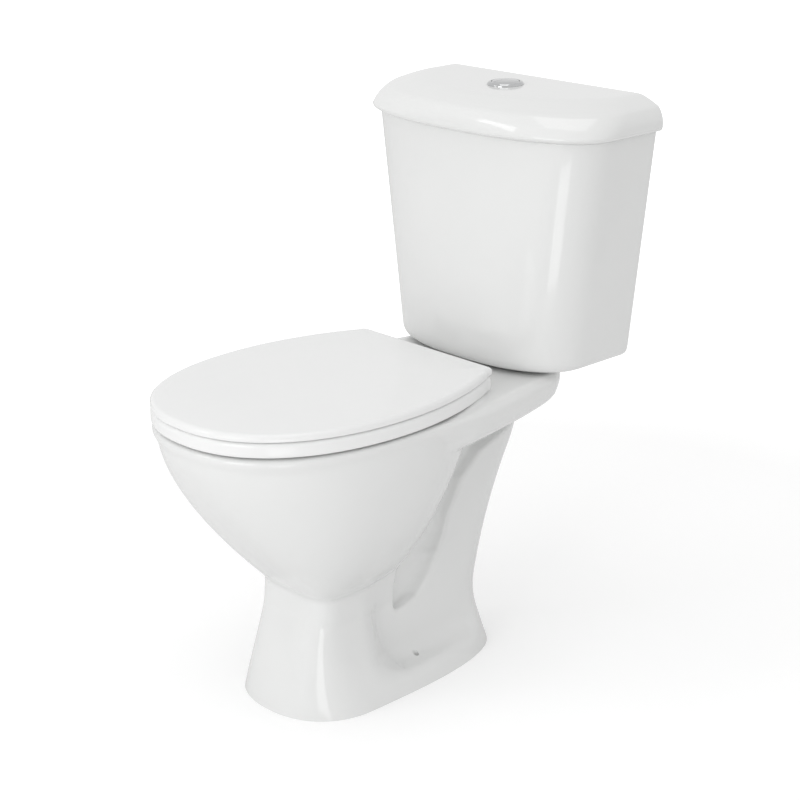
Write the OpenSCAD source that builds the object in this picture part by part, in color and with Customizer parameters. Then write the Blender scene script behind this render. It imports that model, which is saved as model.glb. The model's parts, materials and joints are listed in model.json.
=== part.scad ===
// Close coupled toilet: floor-standing pan with a floor outlet, cistern, seat and flush gear.
// The origin is the centre of the floor outlet, at floor level. The front faces -Y.

/* [Setting out] */
// Distance from the cistern's back to the centre of the floor outlet
outlet_setout = 250; // [248:1:254]
// Gap between separate pieces that only rest on each other
seat_gap = 0.3; // [0.2:0.05:0.5]
// Radial clearance of a pin or rod that turns or slides in a hole
running_clearance = 0.06; // [0.02:0.01:0.1]

/* [Pan rim and deck] */
// Height of the pan's rim above the floor
rim_height = 401; // [396:1:406]
// Width of the pan across the rim
rim_width = 352; // [346:1:358]
// Distance from the cistern's back to the rim's widest point
rim_widest = 417; // [414:1:420]
// Distance from the cistern's back to the front of the rim
rim_front = 643; // [636:1:648]
// Squareness of the rim's front curve, where 2 is a true ellipse
rim_squareness = 2.25; // [2.1:0.01:2.4]
// Width of the deck beside the flush inlet
deck_width = 275; // [268:1:282]
// Growth of the deck's half-width for each unit of length towards the front
deck_taper = 0.21; // [0.19:0.01:0.23]
// Gap between the cistern's back and the deck's back edge
deck_setback = 62; // [59:1:64]
// Corner radius of the deck's back corners
deck_corner = 68; // [60:1:72]
// Thickness of the deck behind the bowl
deck_thickness = 51; // [48:1:54]
// How far the deck's lower edge lies inside its upper edge
deck_lean = 10; // [7:1:14]
// Radius on the rim's and deck's upper edge
rim_round = 6; // [3:0.5:8]
// Width of the rim between the outside and the bowl's opening
rim_inset = 38; // [34:1:44]
// Depth of the flushing rim
rim_depth = 44; // [38:1:50]
// Thickness of the china walls
china_wall = 12; // [10:0.5:14]

/* [Bowl and pedestal] */
// Height of the crease between the bowl and the pedestal
crease_height = 156; // [150:1:162]
// Distance from the cistern's back to the rounded back of the bowl, at the rim
bowl_back_top = 187; // [182:1:192]
// Distance from the cistern's back to the rounded back of the bowl, at the crease
bowl_back_low = 296; // [290:1:302]
// Width at the crease
crease_width = 132.5; // [128:0.5:138]
// Distance from the cistern's back to the front of the crease
crease_front = 480; // [475:0.5:485]
// Height of the sump's floor
sump_height = 116; // [112:1:120]
// Width of the foot on the floor
foot_width = 211.5; // [204:0.5:218]
// Distance from the cistern's back to the front of the foot
foot_front = 529; // [522:1:536]
// Distance from the cistern's back to the foot's widest point
foot_widest = 430.5; // [426:0.5:436]
// Distance from the cistern's back to the back of the foot
foot_back = 158; // [154:1:162]
// Height of the floor flange beside the recess
flange_height = 26; // [22:1:30]
// Width of the rear leg that holds the trap
leg_width = 102; // [98:1:108]
// Distance from the cistern's back to the front edge of the side recess
recess_front = 410; // [404:1:414]
// Distance from the cistern's back to the back edge of the side recess
recess_back = 200; // [196:1:204]
// Radius inside the side recess
recess_round = 18; // [12:1:20]

/* [Pan bores] */
// Bore of the floor outlet
outlet_bore = 80; // [76:1:82]
// Length of the straight outlet bore
outlet_length = 40; // [36:1:44]
// Bore of the trap
trap_bore = 60; // [56:1:64]
// Diameter of the floor fixing holes
fixing_hole = 8; // [6:0.5:9]
// Distance between the two floor fixing holes
fixing_spacing = 136; // [132:1:140]
// Distance from the cistern's back to the floor fixing holes
fixing_setout = 320; // [314:1:326]
// Bore of the flush inlet in the deck
inlet_bore = 58; // [54:1:60]
// Distance from the cistern's back to the flush inlet
inlet_setout = 112; // [110:1:114]
// Width of the counterbore round the flush inlet, which takes the cistern's nut and gasket
inlet_recess = 88; // [86:1:92]
// Depth of that counterbore below the deck
inlet_recess_depth = 12; // [11:0.5:13]
// Bore of the channel that feeds the flushing rim
channel_bore = 24; // [20:1:25]
// Diameter of the seat fixing holes
seat_hole = 15; // [14:0.5:16]
// Radius of the pocket below each seat fixing hole, for the wing nut
nut_pocket = 18; // [17:0.5:20]
// Distance between the seat fixing holes
seat_hole_spacing = 155; // [150:1:160]
// Diameter of the coupling bolt holes in the deck and the cistern
coupling_hole = 11; // [10:0.5:12]
// Distance between the coupling bolts
coupling_spacing = 150; // [146:1:154]

/* [Cistern] */
// Gap between the pan's deck and the cistern's floor
coupling_gap = 4; // [3:0.5:6]
// Height of the cistern without its lid
cistern_height = 320; // [310:1:330]
// Width of the cistern at its top
cistern_top_width = 412; // [404:1:420]
// Width of the cistern at its floor
cistern_floor_width = 323; // [318:1:332]
// Depth of the cistern from back to front
cistern_depth = 177.5; // [174:0.5:182]
// Depth of the bowed part of the cistern's front
cistern_bow = 88; // [82:1:92]
// Squareness of the bow, where 2 is a true ellipse
bow_squareness = 2.4; // [2:0.05:2.7]
// Radius on the cistern's lower edge
cistern_round = 16; // [10:1:20]
// Thickness of the cistern's walls
cistern_wall = 9; // [8:0.5:10]
// Thickness of the cistern's floor
cistern_floor = 10; // [9:0.5:12]
// Hole in the cistern's floor for the flush valve's tail
valve_hole = 62; // [60:0.5:66]
// Hole in the cistern's floor for the water inlet's shank
shank_hole = 23; // [22:0.5:25]
// Distance of the water inlet from the left end of the cistern's floor
shank_inset = 43.5; // [41:0.5:44]
// Distance from the cistern's back to the water inlet
shank_setout = 44; // [42:1:44]

/* [Cistern lid] */
// Height of the cistern's lid
lid_height = 46; // [42:0.5:48]
// Overhang of the lid beyond the cistern's rim
lid_overhang = 11; // [9:0.5:13]
// Width of the sloping band between the lid's edge and its flat top
lid_band = 28; // [24:1:32]
// Width of the small cove around the lid's flat top
lid_cove = 10; // [6:0.5:12]
// Thickness of the lid's top
lid_wall = 9; // [8:0.5:10]
// Depth of the rib that keeps the lid on the cistern
lid_rib_depth = 9; // [6:0.5:12]
// Thickness of that rib
lid_rib = 8; // [6:0.5:10]
// Clearance between the rib and the inside of the cistern
lid_rib_clearance = 2; // [1:0.5:3]
// Distance from the cistern's back to the flush button
button_setout = 76; // [73:1:79]

/* [Seat] */
// Width of the seat
seat_width = 353; // [348:1:358]
// Distance from the cistern's back to the seat's front
seat_front = 643.5; // [638:0.5:648]
// Distance from the cistern's back to the seat's back edge
seat_back = 226.5; // [225:0.5:228]
// Length of the curve that draws the seat's sides in towards the back
seat_draw_in = 284; // [280:1:288]
// How far the ring's back edge stands in front of the lid's, so that the lid can swing past it
ring_back_inset = 5; // [4.5:0.5:7]
// Gap between the rim and the seat ring, which the buffers fill
ring_lift = 3.5; // [3:0.5:5]
// Thickness of the seat ring
ring_thickness = 20; // [18:0.5:20.5]
// Gap between the ring and the lid, which the lid's buffers fill
lid_lift = 0.8; // [0.7:0.1:1.5]
// Thickness of the seat lid
lid_thickness = 10; // [9.5:0.5:11]
// Rise of the seat lid's crown above its edge
lid_crown = 1.5; // [0.5:0.1:2]
// Thickness of the seat lid's skin
lid_skin = 4; // [3:0.5:5]
// Width of the seat's opening
opening_width = 222; // [210:1:230]
// Distance from the cistern's back to the front of the seat's opening
opening_front = 568; // [560:1:575]
// Distance from the cistern's back to the back of the seat's opening
opening_back = 284; // [278:1:290]
// Height of the hinge pins above the rim
pin_height = 18.5; // [18:0.1:19]
// Distance of the hinge pins in front of the seat's back edge
pin_inset = 9.5; // [9:0.5:10]
// Radius of the hinge pins
pin_radius = 2.5; // [2:0.1:3]
// Radius of the hinge knuckles
knuckle_radius = 5.5; // [5:0.1:5.6]
// Width of each hinge post
post_width = 14; // [12:0.5:16]
// Width of each knuckle beside a post
knuckle_width = 10; // [8:0.5:11]
// Length of the seat bolts below the deck's top
seat_bolt_length = 82; // [78:1:90]

/* [Flush gear] */
// Diameter of the bezel's flange
bezel_diameter = 50; // [48:0.5:53]
// Height of the bezel's flange above the lid
bezel_height = 4.5; // [4:0.25:5]
// Hole for the bezel in the cistern's lid
bezel_hole = 44; // [43:0.5:45]
// Wall of the bezel's collar
bezel_wall = 2.4; // [2:0.1:3]
// Length of the bezel's collar below the lid's top
bezel_length = 42; // [40:1:46]
// Gap around and between the two buttons
button_gap = 0.4; // [0.3:0.05:0.6]
// Travel of each button
button_travel = 6; // [4:0.5:7]
// Height of the buttons above the bezel's flange
button_dome = 1.5; // [1:0.25:2]
// Share of the button's width taken by the half-flush button
half_share = 0.4; // [0.34:0.01:0.44]
// Diameter of the push rods
rod_diameter = 5; // [4:0.5:6]
// Distance between the two push rods
rod_spacing = 20; // [18:0.5:22]
// Height of the flush valve above the cistern's floor
valve_height = 230; // [215:1:240]
// Radius of the flush valve's tower
tower_radius = 34; // [32:0.5:36]
// Radius of the lift tube
tube_radius = 14; // [12:0.5:15]
// Lift of the flush valve's tube when the button is pressed
valve_lift = 15; // [10:1:18]
// Thickness of plastic walls in the flush gear
plastic_wall = 2.5; // [2:0.25:3]
// Diameter of the threaded inlet shank, a half-inch pipe thread
shank_diameter = 20.6; // [20.4:0.1:21]
// Length of the shank below the cistern's floor
shank_length = 42; // [36:1:50]
// Radius of the float
float_radius = 30; // [26:0.5:31]
// Height of the float
float_height = 70; // [60:1:75]
// Travel of the float
float_travel = 90; // [80:1:95]
// Radius of the fill valve's column
column_radius = 12; // [11:0.5:13]

/* [Hidden] */

$fn = 48;
china = "white";
front_steps = 24; // steps round a front curve
side_steps = 9; // steps along a side behind the widest point
corner_steps = 3; // steps round a back corner
back_steps = 6; // steps round the deck's back corners
wall_y = outlet_setout; // the cistern's back lies here
eps = 0.01; // overlap that keeps cuts clean
crease_widest = foot_widest + 12.5; // the crease's widest point
rim_flare = 3; // how far the rim stands out beyond the bowl's side
crease_squareness = 3.8;
foot_squareness = 2.25;
leg_round = 60; // length over which the leg's back is rounded
leg_stop = 16; // how far in front of the deck's back the top of the leg stays
slot_wall = 8; // thickness of the leg's china round the trap, behind the slot
slot_edge = 7; // how far the slot's front edge is eased
recess_slope = 55; // length over which the recess deepens behind its front edge
recess_step = 34; // how much it deepens there
deck_level = 200; // the deck's underside is level in front of this
washer_radius = 13; // of the washers under the wing nuts
wing_nut_radius = 8; // of a wing nut's hub
wing_nut_height = 10;
wing_reach = 11; // from a wing nut's middle to the middle of each wing
wing_length = 10;
wing_thickness = 3;
wing_rise = 12; // height of each wing
wing_drop = 3; // how far each wing stands below the hub
post_base_radius = 12;
post_base_height = 3;
post_waist = 0.8; // how much slimmer a post is than its knuckle
bolt_diameter = 8; // of the seat and coupling bolts
bolt_radius = bolt_diameter / 2;
side_buffer_inset = 22; // from the seat's side to its side buffers
side_buffer_advance = 10; // of the side buffers in front of the widest point
front_buffer_inset = 84; // from the seat's side to its front buffers
front_buffer_setback = 56; // from the seat's front to its front buffers
ring_buffer_radius = 7;
lid_buffer_radius = 5;
shank_neck = 0.5; // how much wider the shank is where it passes the nut, the floor and the washer
foot_depth = 6; // the foot is read apart from the bowl this far below the crease

deck_underside = rim_height - deck_thickness;
cistern_base = rim_height + coupling_gap;
cistern_top = cistern_base + cistern_height;
lid_base = cistern_top + seat_gap;
lid_top = lid_base + lid_height;
channel_z = rim_height - inlet_recess_depth - 14;
ring_base = rim_height + ring_lift;
ring_top = ring_base + ring_thickness;
seat_lid_base = ring_top + lid_lift;
seat_lid_top = seat_lid_base + lid_thickness;
pin_y = -seat_back - pin_inset;
pin_z = rim_height + pin_height;
seat_bolt_y = pin_y;
seat_nut_face = deck_underside - 8; // top of the pocket that leaves room for the seat's wing nut
foot_split = crease_height - foot_depth;
seat_washer = 3;
shank_x = cistern_floor_width / 2 - shank_inset;
valve_floor = cistern_base + cistern_floor;

// ---------- curves ----------

// A sine or cosine bent to a superellipse of squareness n.
function bent(c, n) = sign(c) * pow(abs(c), 2 / n);

// A front curve from the left (-x) round the front (-y) to the right.
function front_curve(half, centre, reach, n) = [
  for (i = [0:front_steps])
    let (t = 180 - 180 * i / front_steps)
      [half * bent(cos(t), n), centre - reach * bent(sin(t), n)]
];

// A quarter circle from angle a0 by 90 degrees, anticlockwise.
function corner(x, y, r, a0) = [
  for (i = [0:corner_steps])
    let (t = a0 + 90 * i / corner_steps)
      [x + r * cos(t), y + r * sin(t)]
];

function mirrored(points) = [for (i = [len(points) - 1:-1:0]) [-points[i][0], points[i][1]]];
function level(points, z) = [for (p = points) [p[0], p[1], z]];
function cubic(a, b, c, d, t) =
  a * pow(1 - t, 3) + 3 * b * t * pow(1 - t, 2) + 3 * c * t * t * (1 - t) + d * pow(t, 3);
function mix(a, b, t) = a + (b - a) * t;
function centre_of(ring) = [for (k = [0:2]) [for (p = ring) p[k]] * [for (p = ring) 1] / len(ring)];

// A closed skin through a stack of rings, each running anticlockwise from above.
module loft(rings) {
  count = len(rings[0]);
  last = len(rings) - 1;
  points = concat([for (ring = rings) each ring], [centre_of(rings[0]), centre_of(rings[last])]);
  bottom = len(points) - 2;
  top = len(points) - 1;
  faces = concat(
    [for (j = [0:count - 1]) [bottom, j, (j + 1) % count]],
    [for (j = [0:count - 1]) [top, last * count + (j + 1) % count, last * count + j]],
    [for (i = [0:last - 1], j = [0:count - 1])
      [i * count + j, (i + 1) * count + j, (i + 1) * count + (j + 1) % count]],
    [for (i = [0:last - 1], j = [0:count - 1])
      [i * count + j, (i + 1) * count + (j + 1) % count, i * count + (j + 1) % count]]
  );
  polyhedron(points, faces);
}

// A closed skin through rings that come round to the first one again.
module loop_loft(rings) {
  count = len(rings[0]);
  turns = len(rings);
  points = [for (ring = rings) each ring];
  faces = concat(
    [for (i = [0:turns - 1], j = [0:count - 1])
      let (k = (i + 1) % turns)
        [i * count + j, k * count + j, k * count + (j + 1) % count]],
    [for (i = [0:turns - 1], j = [0:count - 1])
      let (k = (i + 1) % turns)
        [i * count + j, k * count + (j + 1) % count, i * count + (j + 1) % count]]
  );
  polyhedron(points, faces);
}

// Everything below is drawn with the cistern's back at y = 0 and moved here.
module at_wall() translate([0, wall_y, 0]) children();
module both_sides(x) for (side = [-1, 1]) translate([side * x, 0, 0]) children();
module ring_shape(outer, inner, height)
  rotate_extrude() translate([inner, 0]) square([outer - inner, height]);

// ---------- pan ----------

// Height, half-width, front and back of the bowl's outside at t, from the rim (0) to the crease (1).
function bowl_z(t) = cubic(rim_height, rim_height - 73, crease_height + 38, crease_height, t);
function bowl_half(t) =
  cubic(rim_width / 2 - rim_flare, rim_width / 2 - 2, crease_width / 2 + 47, crease_width / 2, t);
function bowl_front(t) = cubic(rim_front - rim_flare, rim_front, crease_front + 38, crease_front, t);
function bowl_back(t) = mix(bowl_back_top, bowl_back_low, pow(t, 1.07));
function bowl_widest(t) = mix(rim_widest, crease_widest, t);
function bowl_squareness(t) = mix(rim_squareness - 0.12, crease_squareness, t * t) + 0.4 * t * (1 - t);

// A whole outline: a front curve, then a rounded back of squareness m.
function egg_outline(half, widest, front, n, back, m) =
  let (
    rear = [
      for (i = [1:2 * side_steps - 1])
        let (t = 90 * i / (2 * side_steps))
          [half * bent(cos(t), m), -widest + (widest - back) * bent(sin(t), m)]
    ]
  )
  concat(front_curve(half, -widest, front - widest, n), rear, [[0, -back]], mirrored(rear));

function bowl_outline(t, inset = 0) =
  egg_outline(
    bowl_half(t) - inset, bowl_widest(t), bowl_front(t) - inset, bowl_squareness(t), bowl_back(t) + inset, 2.1
  );

// The bowl's outside, rounded off below the crease where it overhangs the side recesses.
module bowl_skin() {
  steps = 12;
  loft(concat(
    [for (r = [[36, 47], [18, 44], [6, 38], [1, 26]]) level(bowl_outline(1, r[0]), crease_height - r[1])],
    [for (i = [0:steps - 1]) let (t = 1 - i / steps) level(bowl_outline(t), bowl_z(t))],
    [level(bowl_outline(0, rim_round), rim_height - 1)]
  ));
}

// Half the deck's width at a distance from the wall, running smoothly into the rim's sides.
function soft_min(a, b, blend) = (a + b - sqrt(pow(a - b, 2) + blend * blend)) / 2;
function deck_half(d) =
  soft_min(rim_width / 2, deck_width / 2 + deck_taper * (d - inlet_setout), 5);

// The rim and deck's outline, drawn in by an inset.
function deck_outline(inset) =
  let (
    last = deck_setback + deck_corner,
    side = [
      for (i = [1:side_steps])
        let (d = mix(rim_widest, last, i / side_steps))
          [deck_half(d) - inset, -d]
    ],
    turn = [
      for (i = [1:back_steps])
        let (t = 90 * i / back_steps)
          [
            deck_half(last) - deck_corner + (deck_corner - inset) * cos(t),
            -last + (deck_corner - inset) * sin(t)
          ]
    ]
  )
  concat(
    front_curve(deck_half(rim_widest) - inset, -rim_widest, rim_front - rim_widest - inset, rim_squareness),
    side, turn, mirrored(turn), mirrored(side)
  );

// The deck's underside rises towards its back.
function under_rise(y) = y > -deck_level ? 8 * pow((deck_level + y) / 100, 2) : 0;

module deck_skin() {
  // Inset and height above the underside of each lower ring, whose front part lies inside the bowl.
  lower = [[deck_lean + 20, 0], [deck_lean + 9, 2], [deck_lean + 2, 8], [deck_lean - 2, 16]];
  // Inset and depth below the rim of each upper ring.
  upper = [
    [4 * rim_flare, 34], [rim_flare + 1, 24], [1, 14],
    [0, rim_round], [rim_round * 0.3, rim_round * 0.3], [rim_round, 0]
  ];
  loft(concat(
    [for (r = lower) [
      for (p = deck_outline(r[0]))
        [p[0], max(p[1], -rim_widest), deck_underside + r[1] + under_rise(p[1])]
    ]],
    [for (r = upper) level(deck_outline(r[0]), rim_height - r[1])]
  ));
}

// Pedestal envelope: an egg that flares from the crease (s = 0) down to the floor (s = 1).
pedestal_steps = 8;
function pedestal_outline(s, inset = 0) =
  let (flare = pow(s, 1.6))
  egg_outline(
    mix(crease_width, foot_width, flare) / 2 - 7.4 * s * (1 - s) - inset,
    mix(crease_widest, foot_widest, s),
    mix(crease_front, foot_front, flare) + 34 * s * (1 - s) - inset,
    mix(crease_squareness, foot_squareness, s),
    mix(recess_back + 6, foot_back, pow(s, 0.7)) + inset,
    3
  );

module pedestal_skin() loft([
  for (i = [0:pedestal_steps])
    let (s = 1 - i / pedestal_steps)
      level(pedestal_outline(s), crease_height * (1 - s))
]);

// The leg that carries the trap down behind the bowl; its back leans towards the wall and ends in the deck's.
function leg_back(z) =
  -soft_min(
    -foot_back - 23 + 0.093 * z + 0.000573 * z * z + 0.00000076 * pow(z, 3), -deck_setback - leg_stop, 12
  );
function leg_outline(z) =
  let (
    half = leg_width / 2,
    back = leg_back(z),
    rear = [
      for (i = [0:8])
        let (t = 90 * i / 8)
          [half * bent(cos(t), 2.5), -back - leg_round + leg_round * bent(sin(t), 2.5)]
    ]
  )
  concat(
    [[-half, -recess_front - 10], [half, -recess_front - 10]],
    rear, mirrored([for (i = [0:7]) rear[i]])
  );

leg_steps = 9;
leg_top = deck_underside + 20; // inside the deck
module leg_skin() loft([for (i = [0:leg_steps]) let (z = leg_top * i / leg_steps) level(leg_outline(z), z)]);

// The scoop that makes one side recess: from its floor, up its sloping front, past the crease.
module recess_scoop() {
  inner = leg_width / 2 - 2 + recess_round;
  back = recess_back + recess_round;
  hull()
    for (r = [
      [flange_height + recess_round, recess_front - 30],
      [flange_height + 46, recess_front - 9],
      [crease_height - 30, recess_front],
      [crease_height + 60, recess_front]
    ]) {
      front = r[1] - recess_round;
      for (p = [
        [inner, back], [inner, front - recess_slope], [inner + recess_step, front],
        [rim_width / 2, front], [rim_width / 2, back]
      ])
        translate([p[0], -p[1], r[0]]) sphere(r = recess_round, $fn = 20);
    }
}

// The slot behind the bowl, which leaves only the trap's china between the bowl and the leg.
// Back, front and height of each level.
slot_route = [
  [crease_front - 160, crease_front - 144, crease_height - 56],
  [crease_front - 196, crease_front - 138, crease_height - 46],
  [crease_front - 212, crease_front - 137, crease_height - 22],
  [crease_front - 226, crease_front - 146, crease_height],
  [crease_front - 240, crease_front - 172, crease_height + 26],
  [crease_front - 250, crease_front - 200, crease_height + 54],
  [crease_front - 276, crease_front - 230, crease_height + 98],
  [crease_front - 310, crease_front - 250, crease_height + 128],
  [crease_front - 420, crease_front - 268, crease_height + 160],
  [crease_front - 440, crease_front - 276, crease_height + 191]
];
module leg_slot() {
  inner = trap_bore / 2 + slot_wall;
  outer = rim_width / 2;
  loft([for (r = slot_route) [
    [inner + slot_edge, -r[1] - slot_edge / 2, r[2]], [outer, -r[1] - slot_edge, r[2]],
    [outer, -r[0], r[2]], [inner + slot_edge, -r[0], r[2]], [inner, -r[0] - slot_edge, r[2]],
    [inner, -r[1], r[2]]
  ]]);
}

// The trap's centreline, from the sump over the weir to the top of the outlet bore.
trap_route = [
  [-outlet_setout - 168, sump_height + 44], [-outlet_setout - 110, sump_height + 38],
  [-outlet_setout - 70, sump_height + 52], [-outlet_setout - 42, sump_height + 84],
  [-outlet_setout - 22, sump_height + 124], [-outlet_setout - 4, sump_height + 152],
  [-outlet_setout + 24, sump_height + 166], [-outlet_setout + 51, sump_height + 152],
  [-outlet_setout + 63, sump_height + 124], [-outlet_setout + 57, sump_height + 88],
  [-outlet_setout + 42, sump_height + 48], [-outlet_setout + 24, sump_height + 6],
  [-outlet_setout + 8, sump_height - 36], [-outlet_setout, outlet_length - 10]
];

function unit(v) = v / norm(v);
function route_ring(i, radius) =
  let (
    a = trap_route[max(i - 1, 0)],
    b = trap_route[min(i + 1, len(trap_route) - 1)],
    along = unit(b - a),
    across = [-along[1], along[0]]
  )
  [for (k = [0:23]) let (t = -15 * k) [
    radius * cos(t),
    trap_route[i][0] + radius * sin(t) * across[0],
    trap_route[i][1] + radius * sin(t) * across[1]
  ]];
module trap_passage() loft([for (i = [0:len(trap_route) - 1]) route_ring(i, trap_bore / 2)]);

// The bowl's inside, from the sump up through the rim's opening.
function hollow_outline(half, front, back) =
  let (middle = (front + back) / 2 + (front - back) * 0.04)
  concat(
    front_curve(half, -middle, front - middle, 2.1),
    [for (i = [1:2 * front_steps / 3 - 1]) let (t = 180 * i / (2 * front_steps / 3))
      [half * bent(cos(t), 2.1), -middle + (middle - back) * bent(sin(t), 2.1)]]
  );

opening_back_edge = rim_widest - 139; // back of the bowl's opening through the rim
under_rim = rim_height - rim_depth;

module bowl_hollow() {
  opening_half = rim_width / 2 - rim_inset;
  opening = rim_front - rim_inset;
  // Half-width, front, back and height of each ring.
  loft([for (r = [
    [24, crease_front - 54, crease_front - 122, sump_height],
    [44, crease_front - 28, crease_front - 140, sump_height + 8],
    [52, crease_front - 14, crease_front - 150, sump_height + 34],
    [68, crease_front + 8, crease_front - 164, sump_height + 62],
    [94, crease_front + 36, crease_front - 177, sump_height + 90],
    [bowl_half(0.6) - china_wall, bowl_front(0.6) - china_wall, opening_back_edge + 20, bowl_z(0.6)],
    [bowl_half(0.4) - china_wall, bowl_front(0.4) - china_wall, opening_back_edge + 8, bowl_z(0.4)],
    [bowl_half(0.25) - china_wall, bowl_front(0.25) - china_wall, opening_back_edge, under_rim - 14],
    [bowl_half(0.2) - china_wall - 3, bowl_front(0.2) - china_wall - 3, opening_back_edge, under_rim - 2],
    [opening_half + 2, opening + 2, opening_back_edge + 1, under_rim],
    [opening_half, opening, opening_back_edge + 3, under_rim + 3],
    [opening_half, opening, opening_back_edge + 3, rim_height - rim_round],
    [opening_half + rim_round, opening + rim_round, opening_back_edge - 3, rim_height + eps]
  ]) level(hollow_outline(r[0], r[1], r[2]), r[3])]);
}

// The water channel inside the rim, open below to the bowl.
module rim_channel() {
  outer = china_wall;
  inner = rim_inset - china_wall / 2 - 2;
  low = under_rim - 1;
  high = rim_height - china_wall - 2;
  difference() {
    loft([for (r = [[rim_flare, low], [0, high - 6], [4, high]]) level(
      egg_outline(
        deck_half(rim_widest) - outer - r[0], rim_widest, rim_front - outer - r[0], rim_squareness,
        opening_back_edge - rim_inset + outer + r[0], 2.1
      ), r[1])]);
    loft([for (z = [low - 1, high + 1]) level(
      hollow_outline(rim_width / 2 - inner, rim_front - inner, opening_back_edge - rim_inset + inner), z)]);
  }
}

// The open space inside the pedestal, below the sump.
module pedestal_hollow() {
  intersection() {
    loft([for (s = [1.02, 0.9, 0.7, 0.5, 0.4])
      level(pedestal_outline(s, china_wall), s > 1 ? -1 : crease_height * (1 - s))]);
    translate([-foot_width / 2, -foot_front, -2])
      cube([foot_width, foot_front - recess_front - china_wall, crease_height]);
  }
  half = leg_width / 2 - china_wall;
  back = outlet_setout + outlet_bore / 2 + china_wall;
  front = recess_front + china_wall + 8;
  hull() {
    translate([-half, -front, -2]) cube([2 * half, front - back, 60]);
    translate([-half + 8, -front, -2]) cube([2 * half - 16, front - 16 - back, sump_height - 20]);
  }
}

// One band of the casting as a single skin, before its bores.
module casting(low, high) resize([0, 0, 0]) difference() {
  union() {
    difference() {
      pedestal_skin();
      recess_scoop();
      mirror([1, 0, 0]) recess_scoop();
    }
    bowl_skin();
    deck_skin();
    difference() {
      leg_skin();
      leg_slot();
      mirror([1, 0, 0]) leg_slot();
    }
  }
  bowl_hollow();
  rim_channel();
  trap_passage();
  pedestal_hollow();
  translate([-rim_width, -2 * rim_front, high]) cube([2 * rim_width, 2 * rim_front, rim_height]);
  translate([-rim_width, -2 * rim_front, low - rim_height]) cube([2 * rim_width, 2 * rim_front, rim_height]);
}

// The pan's rim and deck: cast apart and stuck on before firing.
module pan_rim() color(china) at_wall() difference() {
  casting(seat_nut_face, 2 * rim_height);
  translate([0, -inlet_setout, channel_z - channel_bore / 2]) cylinder(d = inlet_bore, h = deck_thickness);
  translate([0, -inlet_setout, rim_height - inlet_recess_depth])
    cylinder(d = inlet_recess, h = inlet_recess_depth + 1);
  translate([0, -inlet_setout, channel_z])
    rotate([90, 0, 0]) cylinder(d = channel_bore, h = opening_back_edge - inlet_setout + 10);
  both_sides(seat_hole_spacing / 2) translate([0, seat_bolt_y, seat_nut_face - 1])
    cylinder(d = seat_hole, h = 2 * deck_thickness);
  both_sides(coupling_spacing / 2) translate([0, -inlet_setout, seat_nut_face - 1])
    cylinder(d = coupling_hole, h = 2 * deck_thickness);
}

// The pan's bowl and the upper part of its leg, with the pockets for the seat's wing nuts.
module pan_bowl() color(china) at_wall() difference() {
  casting(foot_split, seat_nut_face);
  both_sides(seat_hole_spacing / 2) translate([0, seat_bolt_y, seat_nut_face - 90])
    cylinder(r = nut_pocket, h = 91);
}

// The pan's foot, from the floor to just below the crease.
module pan_foot() color(china) at_wall() difference() {
  casting(0, foot_split);
  translate([0, -outlet_setout, -1]) cylinder(d = outlet_bore, h = outlet_length + 1);
  both_sides(fixing_spacing / 2) translate([0, -fixing_setout, -1])
    cylinder(d = fixing_hole, h = flange_height + 30);
}

// ---------- cistern ----------

// A flat-backed outline with a bowed front.
function tank_outline(half, depth, bow, n, back = 0, r = 5) =
  let (
    side = [for (s = [0.5]) [half, -mix(depth - bow, back + r, s)]],
    turn = corner(half - r, -back - r, r, 0)
  )
  concat(front_curve(half, -(depth - bow), bow, n), side, turn, mirrored(turn), mirrored(side));

function cistern_half(h) = mix(cistern_floor_width, cistern_top_width, h / cistern_height) / 2;
function cistern_ring(h, inset, back) =
  level(
    tank_outline(
      cistern_half(h) - inset, cistern_depth - inset, cistern_bow - inset * 0.6, bow_squareness, back
    ),
    cistern_base + h
  );

module cistern_shell() {
  outside = [for (a = [0, 30, 60, 90]) cistern_ring(
    cistern_round * (1 - cos(a)), cistern_round * (1 - sin(a)), 4 * (1 - sin(a))
  )];
  inside = [for (a = [90, 45, 0]) cistern_ring(
    cistern_floor + cistern_round * (1 - cos(a)),
    cistern_wall + cistern_round * (1 - sin(a)), cistern_wall + 6 * (1 - sin(a))
  )];
  loft(concat(
    outside,
    [cistern_ring(cistern_height / 2, 0, 0)],
    [cistern_ring(cistern_height - 3, 0, 0)],
    [cistern_ring(cistern_height, 2, 1)],
    [cistern_ring(cistern_height, cistern_wall - 1, cistern_wall - 1)],
    [cistern_ring(cistern_height - 2, cistern_wall, cistern_wall)],
    inside
  ));
}

module cistern() color(china) at_wall() difference() {
  cistern_shell();
  translate([0, -inlet_setout, cistern_base - 5]) cylinder(d = valve_hole, h = 30);
  both_sides(coupling_spacing / 2) translate([0, -inlet_setout, cistern_base - 5])
    cylinder(d = coupling_hole, h = 30);
  translate([-shank_x, -shank_setout, cistern_base - 5]) cylinder(d = shank_hole, h = 30);
}

// ---------- cistern lid ----------

// One ring of the lid, drawn in by an inset at height h; the bow deepens and softens towards the top.
function lid_ring(inset, h, back) =
  let (rise = max(0, h - 6))
  level(
    tank_outline(
      cistern_top_width / 2 + lid_overhang - inset, cistern_depth + lid_overhang - inset,
      cistern_bow + lid_overhang * 0.8 - inset * 0.75 + rise,
      max(2, bow_squareness - rise * 0.013), back, max(1, 5 - inset * 0.06)
    ),
    lid_base + h
  );

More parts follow.
